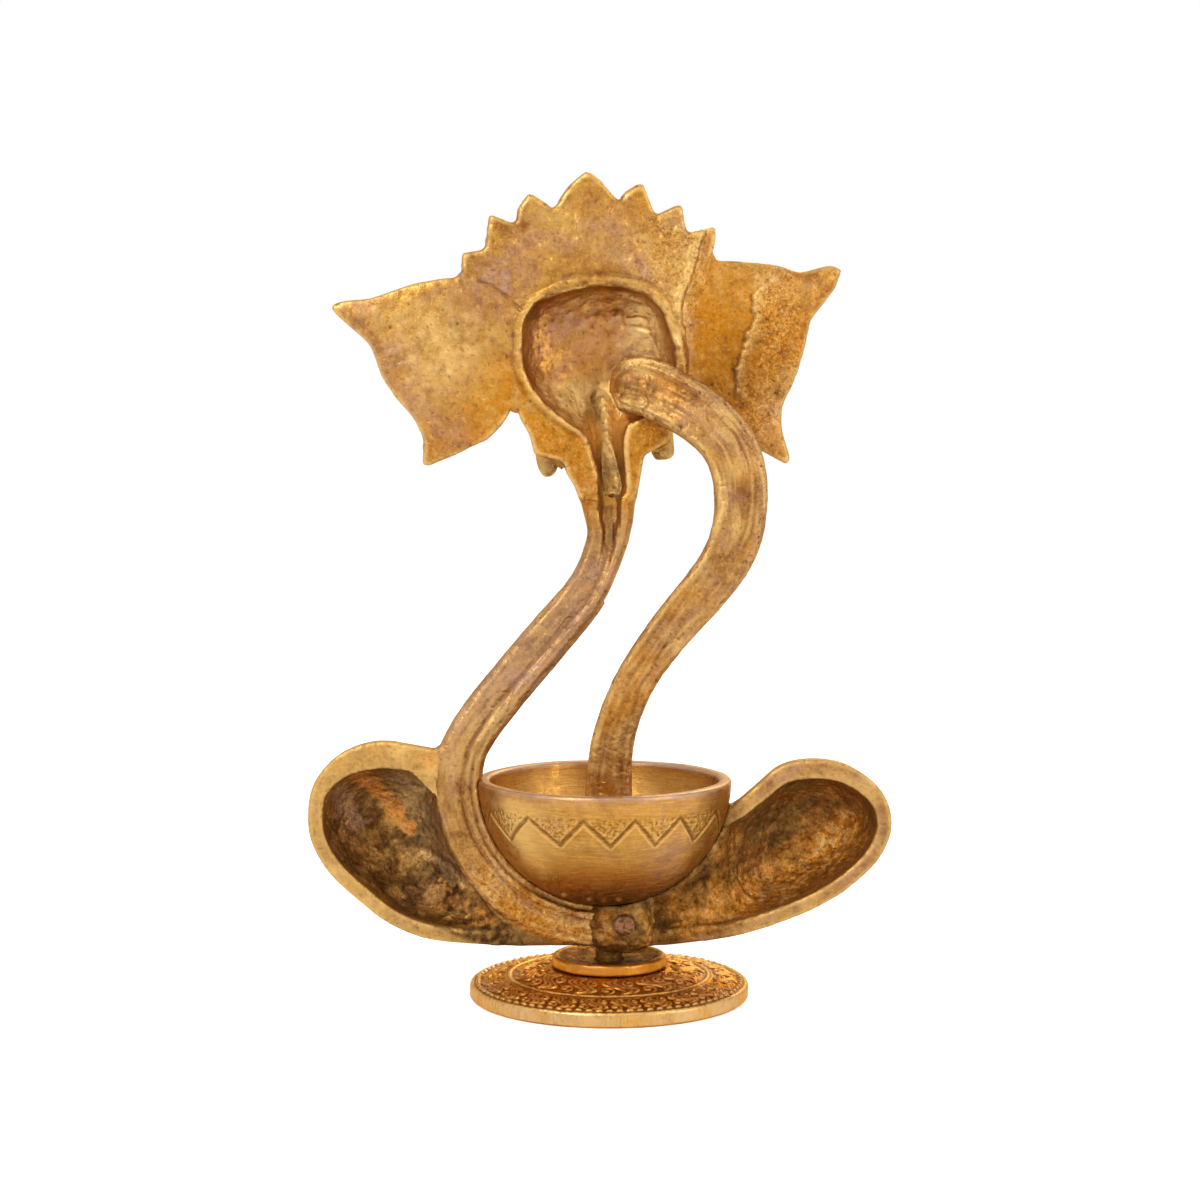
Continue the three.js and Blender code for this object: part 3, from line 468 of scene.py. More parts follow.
def turned(name, profile, columns, at, closed=False):
    """A surface of revolution about the upright through a place. An open profile's two ends
    are closed by small discs, and a closed one runs round on itself."""
    rings = len(profile)
    angle = 2 * np.pi * np.arange(columns) / columns
    r, z = profile[:, :1], profile[:, 1:]
    points = np.stack([at[0] + r * np.cos(angle), at[1] + r * np.sin(angle),
                       at[2] + z + 0 * angle], axis=2).reshape(-1, 3)
    k, i = np.meshgrid(np.arange(rings if closed else rings - 1), np.arange(columns), indexing="ij")
    a, b = k * columns + i, k * columns + (i + 1) % columns
    c, d = (b + columns) % (rings * columns), (a + columns) % (rings * columns)
    faces = [np.stack([d, c, b, a] if closed else [a, b, c, d], axis=2).reshape(-1, 4)]
    if not closed:
        j = np.arange(columns // 2 - 1)
        disc = np.stack([j, columns - 1 - j, columns - 2 - j, j + 1], axis=1)
        faces += [disc, (disc + (rings - 1) * columns)[:, ::-1]]
    made = Surface(name, points, np.vstack(faces))
    made.rings, made.columns = rings, columns
    return made


def angles_of(surface, at):
    """Each point's radius and angle about the upright through a place."""
    x, y = surface.points[:, 0] - at[0], surface.points[:, 1] - at[1]
    return np.hypot(x, y), np.arctan2(y, x)


RELIEF_REACH = 3  # grid steps on each side over which a relief's mean is taken


def relief(surface, height, full=0.12):
    """Presses a relief into a turned surface and paints highlight on its raised places and shade
    in its sunk ones, full at the given height over or under the mean around them."""
    grid = height.reshape(surface.rings, surface.columns)
    mean = np.zeros_like(grid)
    around = range(-RELIEF_REACH, RELIEF_REACH + 1)
    for rows in around:
        for columns in around:
            mean += np.roll(np.roll(grid, rows, axis=0), columns, axis=1)
    mean /= len(around) ** 2
    surface.push(height)
    # edge: painted highlight where raised over the mean, painted shade where sunk
    surface.paint["edge"] = np.clip((grid - mean).ravel() / full, -1, 1)


def zigzag(drop, from_back):
    """How far from the bowl's zigzag line points lie, and where among its repeats."""
    phase = np.interp(from_back, np.radians(ZIGZAG_TURNS[0]), ZIGZAG_TURNS[1])
    swing = np.abs((phase + 0.5) % 1 - 0.5) * 2
    line = ZIGZAG_DROP + ZIGZAG_H * (0.5 - swing)
    slant = math.atan2(2 * ZIGZAG_H, 2 * np.pi * BOWL_R / ZIGZAG_REPEATS)
    return (drop - line) * math.cos(slant), phase


def bowl():
    """The bowl's smooth shell with its chiselled zigzag line and the stippling above it."""
    inner = BOWL_R - BOWL_WALL
    bend = np.linspace(0.004, math.pi / 2 - 0.012, 60)
    corners = [(BOWL_R * math.sin(t), -BOWL_R * math.cos(t)) for t in bend]
    corners += [(BOWL_R - 0.35, 0), (inner + 0.45, 0)]
    corners += [(inner * math.sin(t), -inner * math.cos(t)) for t in bend[::-1]]
    at = (BOWL_X, 0, BOWL_Z)
    made = turned("bowl", resampled(corners, 0.36, 3), 640, at)
    r, angle = angles_of(made, at)
    drop = BOWL_Z - made.points[:, 2]
    outside = (np.hypot(r, drop) > BOWL_R - 1).astype(float)
    from_back = (angle - np.pi / 2 + np.pi) % (2 * np.pi) - np.pi
    away, phase = zigzag(drop, from_back)
    p = made.points
    stroke = np.abs(away) + 0.14 * noise(p, 1.6, 3)
    cut = np.clip(1 - stroke / ZIGZAG_HALF, 0, 1) ** 0.7
    cut *= 0.5 + 0.5 * np.sqrt(np.abs(np.sin(2 * np.pi * phase))) + 0.2 * noise(p, 5, 4)
    lip = hump(away - 0.9, 0.35) * 0.06
    dots = step(noise(p, 0.62, 5), -0.1, 0.4)
    above = step(-away, 0.4, 1.0) * step(drop - (ZIGZAG_DROP - ZIGZAG_H * 0.5), -1.4, 0.2)
    brushed = noise(p * [1, 1, 9], 6, 7)
    height = outside * (-0.45 * cut + lip - 0.16 * above * dots) + 0.1 * noise(p, 16, 6) + 0.02 * brushed
    height += 0.18 * step(drop, 20, 28) * outside * noise(p, 1.6, 8)
    solder = sum(hump(np.hypot(p[:, 0] - a, drop - b), 0.8) for a, b in SOLDER)
    solder *= outside * (p[:, 1] > 0)
    height += 0.55 * solder
    relief(made, height)
    # A painted highlight along the rim's top
    made.paint["edge"] += hump(drop, 0.3) * 0.3
    made.add("shade", outside * (0.6 * cut + 0.15 * above * dots + 0.12 * step(brushed, 0.1, 0.6)))
    made.add("green", outside * 0.4 * step(drop, 8, 14))
    stained = hump(np.hypot(p[:, 0] + 14, drop - 20), 6) * (p[:, 1] > 0)
    made.add("mauve", outside * 0.7 * stained * step(noise(p, 3, 11), -0.5, 0.3))
    made.add("shade", outside * 0.4 * stained * step(noise(p, 3, 11), -0.2, 0.5))
    made.add("green", outside * 0.4 * step(drop, 18, 24))
    made.add("shade", outside * (0.95 * step(drop, 24, 30) + 0.2 * step(from_back, 0.5, 1.2)) - solder)
    made.add("grey", 1.3 * hump(drop - 0.1, 0.9) * (0.6 + 0.4 * step(from_back, -0.5, 1)) + solder)
    made.add("mauve", 0.35 * outside * (1 - step(drop, 2, 7)))
    # A painted highlight: a pale upright streak down the bowl's outside on the left
    left = hump(from_back + 0.78, 0.26)
    made.add("pale", outside * 0.8 * left * step(drop, 1, 4) * (1 - step(drop, 12, 24)))
    made.add("pale", 0.35 * (1 - outside) * step(drop, 1, 3))
    made.add("grit", 0.9 * above * outside)
    blush = np.hypot((from_back - 0.62) / 0.22, (drop - 15) / 6)
    made.add("mauve", outside * 0.7 * hump(blush, 1))
    made.add("glow", outside * 0.4 * step(drop, 12, 20))
    return made


def petals(radial, angle, count):
    """A row of pointed leaves: 1 on a leaf's body, 0 between leaves, for a radial place of 0 to 1.
    The second value is how far points lie across their leaf."""
    turn = (count * angle / (2 * np.pi)) % 1 - 0.5
    half = 0.46 * np.clip(1 - radial, 0, 1) ** 0.6 * np.clip(radial * 9, 0, 1) ** 0.5
    body = np.clip((half - np.abs(turn)) / 0.1, 0, 1)
    return body * (radial > 0) * (radial < 1), turn


def scrolls(r, angle, low, high, count):
    """A band of ridged S-shaped leaves, each with a curl at both ends, between two radii."""
    width = high - low
    pitch = np.pi * (low + high) / count
    across = ((count * angle / (2 * np.pi)) % 1 - 0.5) * pitch
    out = r - (low + high) / 2
    share = np.clip(2 * out / width, -1, 1)
    bend = across - 0.26 * pitch * np.sin(np.pi * share)
    half = 0.27 * pitch * np.sqrt(1 - share**2)
    lines = 0.6 + 0.4 * np.cos(2 * np.pi * bend / (0.17 * pitch))
    made = np.clip((half - np.abs(bend)) / 0.35, 0, 1) * (0.15 + 0.4 * lines)
    for side in (1, -1):
        x, y = across * side + 0.3 * pitch, out * side - 0.22 * width
        reach = np.hypot(x, y)
        turn = 0.5 + 0.5 * np.cos(2 * np.pi * reach / (0.17 * pitch) - np.arctan2(y, x))
        made = np.maximum(made, 0.5 * turn * np.clip((0.2 * pitch - reach) / 0.3, 0, 1))
    return made * (np.abs(out) < width / 2)


def base_plate():
    """The round base: a filed edge, a ledge, a toothed rope, and a ring between bands of scrolls."""
    top = SEAT_Z - 0.35
    corners = [(SOCKET_R, 3.2), (SOCKET_R, SEAT_Z - 0.05), (COLLAR_R + 0.6, SEAT_Z - 0.05),
               (COLLAR_R + 1.2, top), (BASE_R * 0.96, BASE_EDGE_H + 0.15),
               (BASE_R - 0.5, BASE_EDGE_H - 0.1), (BASE_R - 0.05, BASE_EDGE_H - 0.6),
               (BASE_R - 0.05, 0.7), (BASE_R - 0.9, 0.0), (SOCKET_R, 0.0), (SOCKET_R, 3.2)]
    profile = resampled(corners, 0.27, 1)[:-1]
    made = turned("base_plate", profile, 760, (0, 0, 0), closed=True)
    r, angle = angles_of(made, (0, 0))
    t = r / BASE_R
    p = made.points
    facing_up = step(made.normals[:, 2], 0.4, 0.8) * (p[:, 2] > 2)
    side = step(t, 0.985, 0.995) * (p[:, 2] > 0.5)
    wobble = 0.006 * noise(p, 5, 21)

    teeth = np.abs((ROPE_TEETH * angle / (2 * np.pi)) % 1 - 0.5) * 2
    rope = hump(t - ROPE_AT - wobble, 0.016) * (0.35 + 0.65 * step(teeth, 0.25, 0.6))
    ledge = 0.4 * step(t, LEDGE_FROM, LEDGE_TO) + 0.75 * rope
    band = 0.5 * hump(t - RING_AT, 0.012) + 0.25 * hump(t - LINE_AT, 0.006)
    for inner, outer, repeats in SCROLL_BANDS:
        band += scrolls(r, angle, BASE_R * inner, BASE_R * outer, repeats)
    grit = 0.09 * noise(p, 0.9, 22) + 0.06 * rough(p, 3, 2, 23)
    strokes = noise(np.stack([r * angle, p[:, 2] * 0.12, 0 * r], axis=1), 0.42, 24)
    filed = step(noise(p * [1, 1, 0.3], 7, 25), -0.1, 0.35)
    height = facing_up * (band + ledge - 0.35 + grit) - side * filed * 0.08 * step(strokes, 0.1, 0.6)
    height += side * 0.05 * noise(p, 6, 26)
    relief(made, height, 0.16)
    sunk = facing_up * (1 - step(band + ledge, 0.04, 0.3))
    made.add("red", sunk * step(0.97 - t, 0, 0.01) * 0.45)
    made.add("pale", facing_up * 0.6 * (rope + hump(t - RING_AT, 0.01)))
    made.add("amber", facing_up * 0.9 * step(band, 0.1, 0.5))
    made.add("shade", side * filed * 0.22 * step(strokes, 0.15, 0.6))
    made.add("pale", side * 0.7 + facing_up * step(t, 0.965, 0.975) * 0.6)
    made.add("grey", side * 0.7 * step(noise(p, 9, 29), -0.2, 0.5))
    made.add("mauve", side * 0.6 * step(p[:, 0], 8, 26))
    aside = step(np.abs(p[:, 0]), 16, 30) * step(noise(p, 7, 20), -0.3, 0.3)
    made.add("grey", facing_up * 0.6 * aside)
    made.add("mauve", (facing_up + 0.6 * side) * 0.6 * step(noise(p, 14, 27) - 0.02 * p[:, 0], 0.1, 0.6))
    made.add("glow", facing_up * step(0.93 - t, 0, 0.03) * 0.7)
    made.add("red", facing_up * step(0.93 - t, 0, 0.03) * 0.4 * step(noise(p, 8, 28), -0.2, 0.5))
    return made


def base_collar():
    """The disc under the stem, with a round lip and a dished top in painted shade."""
    floor = COLLAR_TOP - COLLAR_DISH
    corners = [(SOCKET_R, SEAT_Z), (SOCKET_R, floor), (COLLAR_R * 0.6, floor + 0.05),
               (COLLAR_R - 2.6, COLLAR_TOP - 0.5), (COLLAR_R - 1.5, COLLAR_TOP - 0.02),
               (COLLAR_R - 0.9, COLLAR_TOP - 0.02), (COLLAR_R - 0.3, floor + 0.9),
               (COLLAR_R - 0.02, SEAT_Z + 0.25), (COLLAR_R - 0.1, SEAT_Z), (SOCKET_R, SEAT_Z)]
    made = turned("base_collar", resampled(corners, 0.25, 2)[:-1], 320, (0, 0, 0), closed=True)
    p = made.points
    r, _ = angles_of(made, (0, 0))
    up = step(made.normals[:, 2], 0.3, 0.8)
    relief(made, 0.05 * rough(p, 2.5, 3, 31) - 0.12 * up * step(noise(p, 0.8, 32), 0.3, 0.7))
    # Painted shade and reflection in the dish: the hub's dark underside mirrored there
    made.add("shade", (1 - step(r, COLLAR_R - 2.4, COLLAR_R - 1.4)) * 0.9)
    outer = step(r, COLLAR_R - 1.6, COLLAR_R - 0.6)
    made.add("red", 0.35 * outer)
    made.add("glow", 0.7 * outer)
    made.add("amber", 0.3 * outer * step(noise(p * [1, 1, 4], 6, 34), -0.3, 0.3))
    made.add("green", (1 - outer) * 0.6)
    return made


def stem():
    """The plain post between the base and the hub, a little way into both."""
    top = HUB_Z + 1.4
    corners = [(0.3, 3.1), (STEM_R - 0.03, 3.1), (STEM_R - 0.03, top), (0.3, top)]
    made = turned("stem", resampled(corners, 0.3, 1), 96, (0, 0, 0))
    made.push(0.05 * rough(made.points, 2, 2, 41) - 0.03)
    made.add("shade", np.full(len(made.points), 0.4))
    return made


def braze_plug():
    """A blob of filler metal, flat and pitted, on the hub's back."""
    radius = (plug_high[0] - plug_low[0]) / 2
    deep = plug_high[1] - plug_low[1]
    corners = [(0.25, -0.2), (radius - 0.1, -0.2), (radius - 0.15, deep * 0.5),
               (radius * 0.7, deep * 0.85), (0.25, deep * 0.95)]
    made = turned("braze_plug", resampled(corners, 0.22, 4), 120, (0, 0, 0))
    x, y, z = made.points.T
    middle = (plug_low + plug_high) / 2
    made.points = np.stack([middle[0] + x, plug_low[1] + z, middle[2] - y], axis=1)
    made.normals = vertex_normals(made.points, made.faces)
    p = made.points
    made.push(0.16 * rough(p, 2.2, 3, 51) - 0.16 * step(noise(p, 0.8, 52), 0.2, 0.6) - 0.1)
    made.add("mauve", 0.4 + 0.4 * noise(p, 2.5, 53))
    made.add("shade", 0.5 * step(noise(p, 0.8, 52), 0.2, 0.6))
    made.add("grit", np.full(len(p), 0.8))
    return made


# The head, in its own upright frame: x to the left ear, z up, from the middle of the face

HEAD_TURN = np.array(Matrix.Rotation(HEAD_YAW, 3, "Z") @ Matrix.Rotation(HEAD_TILT, 3, "Y"))

RIM_LINE = [(6.7, -16.7), (9.1, -15.0), (12.5, -12.7), (15.8, -9.6), (18.6, -6.0), (20.3, -2.1),
            (20.9, 1.0), (20.8, 4.0), (20.3, 7.0), (19.7, 9.9), (18.7, 13.2), (16.3, 16.2),
            (13.1, 18.4), (9.0, 20.0), (3.8, 21.0), (-5.0, 20.6), (-10.0, 19.2), (-14.2, 16.8),
            (-16.9, 13.4), (-18.4, 9.4), (-19.4, 5.2), (-20.2, 1.8), (-20.6, -2.0)]
SIDE_RIDGE = [(-27.9, 30.2), (-25.9, 26.5), (-24.9, 23.0), (-23.1, 18.9), (-21.2, 15.1),
              (-20.3, 11.3), (-20.1, 6.8), (-20.4, 2.9)]
EAR_CRACK = [(29.5, 22.4), (26.0, 20.9), (23.9, 19.0), (22.3, 17.4), (20.6, 15.9), (19.4, 14.4)]
CROWN_DENTS = [[(17.8, 29.8), (14.3, 29.0), (10.9, 27.0)], [(20.1, 32.4), (16.6, 31.8), (13.7, 30.8)],
               [(24.5, 27.0), (20.5, 25.6), (18.0, 24.6)]]
CROWN_FOLDS = [[(-6.4, 36.5), (-9.9, 31.5), (-10.8, 27.5), (-10.0, 24.3)],
               [(5.0, 37.0), (3.0, 33.0), (3.6, 29.0)], [(-17.5, 33.5), (-19.5, 29.0), (-20.0, 25.5)]]
EAR_STEP = [(-45.6, 17.9), (-42.6, 16.4), (-40.7, 13.8), (-40.4, 8.7), (-39.0, 5.4), (-37.6, 1.6),
            (-35.6, -1.6), (-34.5, -5.5), (-33.9, -10.0)]
EAR_SCAR = [(-47.4, 11.6), (-45.5, 8.3), (-46.4, 5.5), (-43.4, 2.9), (-45.6, 2.1)]
EAR_HOLE = (65, 19.7)  # a pinhole near the left ear's tip
HOLLOW_DENTS = [[(-1.3, 11.4), (-2.3, 9.8)], [(-6.2, 11.8), (-6.9, 9.0)]]
HOLLOW_LINES = [[(-9.3, 8.3), (-11.5, 7.9), (-13.7, 6.9)], [(-8.8, 10.3), (-11.1, 10.4), (-13.4, 9.4)]]
# The front's ornament, as distances from the top of the face
BEADS_AT, BEAD_R, BEAD_TURN = 5.6, 1.5, 4.2  # the last as degrees from bead to bead
LEAVES_AT, LEAF_LENGTH, LEAVES = 9, 17, 24
EAR_RIB_TURN = 17  # degrees from rib to rib

# Soft round patches of colour: x, z, half width, strength. Some pale ones, in the left ear's middle and on
# the side ridge, are painted highlights
EAR_SHADOWS = [(-36, -5, 10, 0.45), (-28, -12, 6, 0.3), (-48, -12, 6, 0.2)]
HEAD_SPOTS = {
    "pale": [(43, 12, 8, 0.8), (36, 3, 8, 0.8), (44, -2, 6, 0.5), (54, 16, 5, 0.5), (30, 11, 5, 0.35),
             (6, 32, 7, 0.4), (8, 40, 5, 0.4), (-12, 27, 5, 0.3), (-43, 17, 5, 0.6),
             (-53, 15, 4, 0.35), (-32, 19, 5, 0.4), (-22, 24, 3, 0.7), (-20, 14, 2.5, 0.5),
             (20, 14, 3, 0.3)],
    "mauve": [(52, 5, 6, 1.0), (48, -7, 6, 1.0), (39, -17, 6, 0.8), (60, 16, 6, 0.8), (24, 27, 5, 0.6),
              (14, 34, 5, 0.6), (-4, 34, 6, 0.8), (-13, 22, 4, 0.9), (-8, 26, 5, 0.8),
              (26, 19, 6, 0.7), (-44, -17, 5, 1.0), (20, 23, 6, 0.5), (-22, -14, 4, 0.5),
              (34, 18, 5, 0.5), (-58, 18, 6, 0.6), (20, 6, 3, 0.5)],
    "glow": [(25, -5, 9, 1.2), (29, -11, 8, 1.0), (18, -13, 7, 1.0), (46, 18, 5, 0.3),
             (-30, 14, 8, 1.0), (-28, 2, 10, 1.2), (-38, -4, 9, 1.2), (-40, 9, 6, 0.9),
             (-10, 40, 6, 0.5), (2, 24, 5, 0.4), (-14, 36, 4, 0.4), (-2, 44, 5, 0.4)],
    "red": [(-28, 3, 8, 0.6), (-40, -8, 9, 0.8), (-34, -2, 8, 0.6), (10, 26, 6, 0.35),
            (50, -6, 9, 0.6), (40, -17, 8, 0.6), (18, 30, 8, 0.35), (-30, 12, 6, 0.4),
            (27, 19, 8, 0.6), (58, 12, 6, 0.4)]}
HOLLOW_SPOTS = {
    "mauve": [(8, 6, 8, 0.5), (0, 14, 9, 0.3)],
    "pale": [(-13, 3, 8, 0.5), (-13, 12, 5, 0.3)],
    "glow": [(-3, 10, 6, 1.2), (-14, 12, 4, 0.3), (4, -2, 6, 0.5), (0, 4, 5, 0.6)],
    "red": [(15, 5, 7, 0.7), (12, 14, 6, 0.4)],
    "grey": [(-13, 5, 8, 0.7), (-16, 12, 5, 0.5)]}


def in_head(surface):
    """The surface's points and normals in the head's frame."""
    return (surface.points - HEAD_AT) @ HEAD_TURN, surface.normals @ HEAD_TURN


def spots(x, z, places):
    """Soft round patches at places given as x, z, half width and strength."""
    return sum(s * hump(np.hypot(x - a, z - b), w) for a, b, w, s in places)


def lower_ear(surface):
    """Takes the crown's right border down to the ear's level, outside the ridge that parts them."""
    q, _ = in_head(surface)
    line = np.array(SIDE_RIDGE)[::-1]
    outside = step(np.interp(q[:, 2], line[:, 1], line[:, 0]) - q[:, 0], 0.3, 1.6)
    down = outside * (q[:, 2] > -4) * 0.97 * np.maximum(q[:, 1] + EAR_DROP, 0)
    surface.points = surface.points - down[:, None] * HEAD_TURN[:, 1]
    surface.settle(1)


def run_channel(surface):
    """Runs the mask's channel down a ramp and on into the trunk's groove, across their joint."""
    x, y, z = surface.points.T
    floor = np.interp(z, *CHANNEL_FLOOR)
    aside = np.abs(x - CHANNEL_X)
    inner = (aside < CHANNEL_HALF + 0.8) & (y > np.interp(z, *CAST_FLOOR) - 1.0)
    lift = inner * (z > CHANNEL_JOINT) * (z < CHANNEL_FLOOR[0][-1] + 2) * np.maximum(floor - y, 0)
    groove = floor + 4.5 * (aside / CHANNEL_HALF) ** 5
    above = z - CHANNEL_JOINT
    near = step(above, -9, -5) * (1 - step(above, 4, 7))
    surface.lift(lift - inner * near * np.maximum(y - groove, 0))


def rims(surface, p, back, shallow, jitter, broken):
    """Rims, a ridge, a crack, dents and folds round the hollow. Returns their height."""
    x, y, z = p.T
    rim = near_line(x, z, RIM_LINE) + 0.3 * jitter
    height = shallow * (0.45 * hump(rim, 0.6) * broken - 0.2 * hump(rim - 1.9, 0.9))
    ridge = near_line(x, z, SIDE_RIDGE) + 0.4 * jitter
    ridge_on = back * step(y, -7.0, -4.0)
    knobs = hump(ridge - 1.4, 1.5) * step(jitter, 0, 0.3)
    height += ridge_on * (0.7 * hump(ridge, 1.0) + 0.4 * knobs) * broken
    crack = near_line(x, z, EAR_CRACK) + 0.6 * jitter
    height -= shallow * 0.4 * hump(crack, 0.3)
    height += shallow * 0.3 * hump(crack - 1.0, 0.5) * broken
    for line in CROWN_DENTS:
        height -= shallow * 0.35 * hump(near_line(x, z, line) + 0.6 * jitter, 0.45)
    for line in CROWN_FOLDS:
        height += shallow * 0.45 * hump(near_line(x, z, line) + jitter, 1.2)
    tip_hole = hump(np.hypot(x - EAR_HOLE[0], z - EAR_HOLE[1]), 0.6)
    # Painted shade in the crack, the pinhole and just outside the rim; painted highlight along the rim and
    # the side ridge
    surface.add("shade", back * 0.6 * hump(crack, 0.45) * shallow * broken + back * tip_hole)
    surface.add("shade", shallow * 0.45 * hump(rim - 1.5, 0.6))
    surface.add("pale", shallow * 0.6 * hump(rim, 0.45) * broken + ridge_on * 0.9 * hump(ridge, 1.6))
    return height - 0.5 * back * tip_hole


def ear_step(surface, p, back, jitter, broken):
    """The right ear's step and scar, and the wrinkled skin beyond the step. Returns the height
    and where the skin is."""
    x, _, z = p.T
    order = np.array(EAR_STEP)[::-1]
    over = np.interp(z, order[:, 1], order[:, 0]) + jitter + 0.9 * noise(p, 4.5, 63) - x
    on_ear = (x < -25) * back
    on_step = on_ear * step(z, -14, -9) * (1 - step(z, 17, 20))
    height = on_step * (0.6 * step(over, -0.2, 0.4) * (1 - 0.7 * step(over, 2, 13))
                        + 0.25 * hump(over, 0.45))
    height += on_ear * 0.5 * hump(near_line(x, z, EAR_SCAR) + 0.5 * jitter, 0.6)
    wrinkled = on_ear * step(over, -1, 1.5) * step(z, -22, -16) * (1 - step(-x, 50, 55))
    # Painted highlight along the step's edge and painted shade at its foot
    surface.add("pale", on_step * (0.9 * hump(over - 0.2, 0.5) + 0.4 * hump(over - 1.2, 1.2) * broken))
    surface.add("shade", on_step * 0.6 * hump(over + 0.7, 0.4))
    surface.add("glow", wrinkled * 0.75 * broken + on_ear * (1 - step(over, -1, 1)) * 0.6)
    surface.add("red", on_ear * (0.35 + 0.3 * step(noise(p, 8, 74), -0.1, 0.4)))
    surface.add("shade", on_ear * spots(x, z, EAR_SHADOWS))
    return height, wrinkled


def hollow_marks(surface, p, n, back, inside, jitter, broken):
    """The hollow's lumps, dents and colours, down into the channel. Returns the height."""
    x, y, z = p.T
    lumps = rough(p, 3.2, 3, 65)
    height = inside * (0.35 * noise(p, 9, 64) + 0.2 * lumps)
    for line in HOLLOW_DENTS:
        height -= inside * 0.6 * hump(near_line(x, z, line), 1.1)
    for line in HOLLOW_LINES:
        height -= inside * 0.3 * hump(near_line(x, z, line) + 0.4 * jitter, 0.4)
    for paint, places in HOLLOW_SPOTS.items():
        surface.add(paint, inside * broken * spots(x, z, places))
    surface.add("mauve", inside * broken * 0.35)
    surface.add("shade", inside * 0.3 * step(lumps, 0.0, 0.7) * broken)
    cavity = step(-y, 1.0, 3.0) * (n[:, 1] > -0.2) * (np.hypot(x, z - 5) < 24)
    surface.add("pale", cavity * step(-x, 6, 14) * 0.8)
    surface.add("grey", cavity * step(-x, 6, 14) * 0.3)
    channel = cavity * step(-z, 8, 14) * (n[:, 1] < 0.6)
    surface.add("green", channel * 0.8)
    surface.add("pale", channel * 0.3)
    low = step(-z, 2, 9) * (n[:, 1] > -0.1) * step(-y, 1.5, 4)
    surface.add("green", low * 0.9)
    surface.add("pale", low * (1 - step(-z, 18, 28)) * 0.95)
    jaw = back * step(-z, 13, 18) * step(y, -3.5, -1.5) * (1 - step(-z, 30, 36))
    surface.add("glow", jaw * 0.8)
    surface.add("grit", jaw * 0.2)
    surface.add("red", jaw * 0.6 * step(noise(p, 3, 70), -0.1, 0.5))
    return height


def head_back(surface):
    """The marks and colours on the back of the head."""
    if surface.name == "face":
        run_channel(surface)
    if surface.name in ("crown", "ear_right"):
        lower_ear(surface)
    p, n = in_head(surface)
    x, y, z = p.T
    back = step(n[:, 1], 0.15, 0.55)
    shallow = back * step(y, -4.0, -2.5)
    inside = back * step(-y, 3.5, 6.0)
    jitter = 0.5 * noise(p, 1.8, 61)
    broken = np.clip(0.65 + 0.6 * rough(p, 3.5, 3, 69), 0, 1.4)
    height = rims(surface, p, back, shallow, jitter, broken)
    stepped, wrinkled = ear_step(surface, p, back, jitter, broken)
    height += stepped + hollow_marks(surface, p, n, back, inside, jitter, broken)
    knobbly = shallow * (surface.name == "crown") * step(-x - 0.25 * (z - 20), 6, 16)
    skin = np.clip(wrinkled + knobbly, 0, 1)
    grain, lows = rough(p, 1.9, 2, 72), rough(p, 2.6, 3, 67)
    pits = step(noise(p, 0.9, 68), 0.45, 0.75)
    height += skin * 0.24 * grain + back * (1 - inside) * (0.14 * noise(p, 9, 66) + 0.12 * lows)
    surface.push(height - back * 0.2 * pits)

    surface.add("shade", back * 0.5 * pits)
    # Painted shade on the sunk lumps and painted highlight on the raised ones
    surface.add("shade", shallow * 0.35 * step(-lows, 0.1, 0.9))
    surface.add("pale", shallow * 0.35 * step(lows, 0.2, 1.0))
    border = 1 - step(y, -2.2, -1.2) if surface.name.startswith("ear") else 0.3
    surface.add("grit", skin * 0.6 * (1 - step(-x, 50, 54)) + 0.2 * shallow + 0.2 * border)
    # Painted highlight on the raised grain of the crown's knobbly part
    surface.add("pale", knobbly * 0.4 * step(grain, 0.2, 0.8))
    surface.add("mauve", knobbly * 0.35 * step(-rough(p, 4, 2, 73), 0, 0.6))
    for paint, places in HEAD_SPOTS.items():
        surface.add(paint, shallow * broken * spots(x, z, places))
    rosy = shallow * broken * spots(x, z, HEAD_SPOTS["mauve"])
    # Painted shading greys the slopes that face +x; where mauve is strong, the grey is a tint of the metal
    surface.add("grey", shallow * step(n[:, 0], 0.3, 0.7) * 0.6 + 0.4 * np.clip(rosy - 0.5, 0, 1))


def face_front(x, z):
    """Eyes, brows, a mark on the forehead and the trunk's first folds: their height and shade."""
    side = np.abs(x)
    eye = np.hypot((side - CHEEK * 0.46) / 4.2, (z + FACE_TOP * 0.03) / 2.3)
    height = 0.55 * hump(eye - 1, 0.16) - 0.45 * hump(eye - 0.62, 0.1)
    shade = 0.5 * hump(eye - 0.72, 0.14) + 0.4 * hump(eye - 1.3, 0.14)
    brow = z - FACE_TOP * 0.2 - 2.6 * np.cos((side - CHEEK * 0.42) / 4.6)
    height += 0.6 * hump(brow, 0.75) * step(side, 2.0, 3.5) * (1 - step(side, 15, 17.5))
    height += 0.7 * (1 - step(side + 0.45 * np.abs(z - FACE_TOP * 0.5), 1.3, 2.3))
    trunk_root = (1 - step(side, 6.5, 9)) * step(-z, 1, 4)
    fold = np.abs(((z + 0.03 * x * x) / 3.6) % 1 - 0.5) * 2
    height -= trunk_root * 0.45 * step(fold, 0.7, 1.0)
    return height, shade + trunk_root * 0.5 * step(fold, 0.75, 1.0)


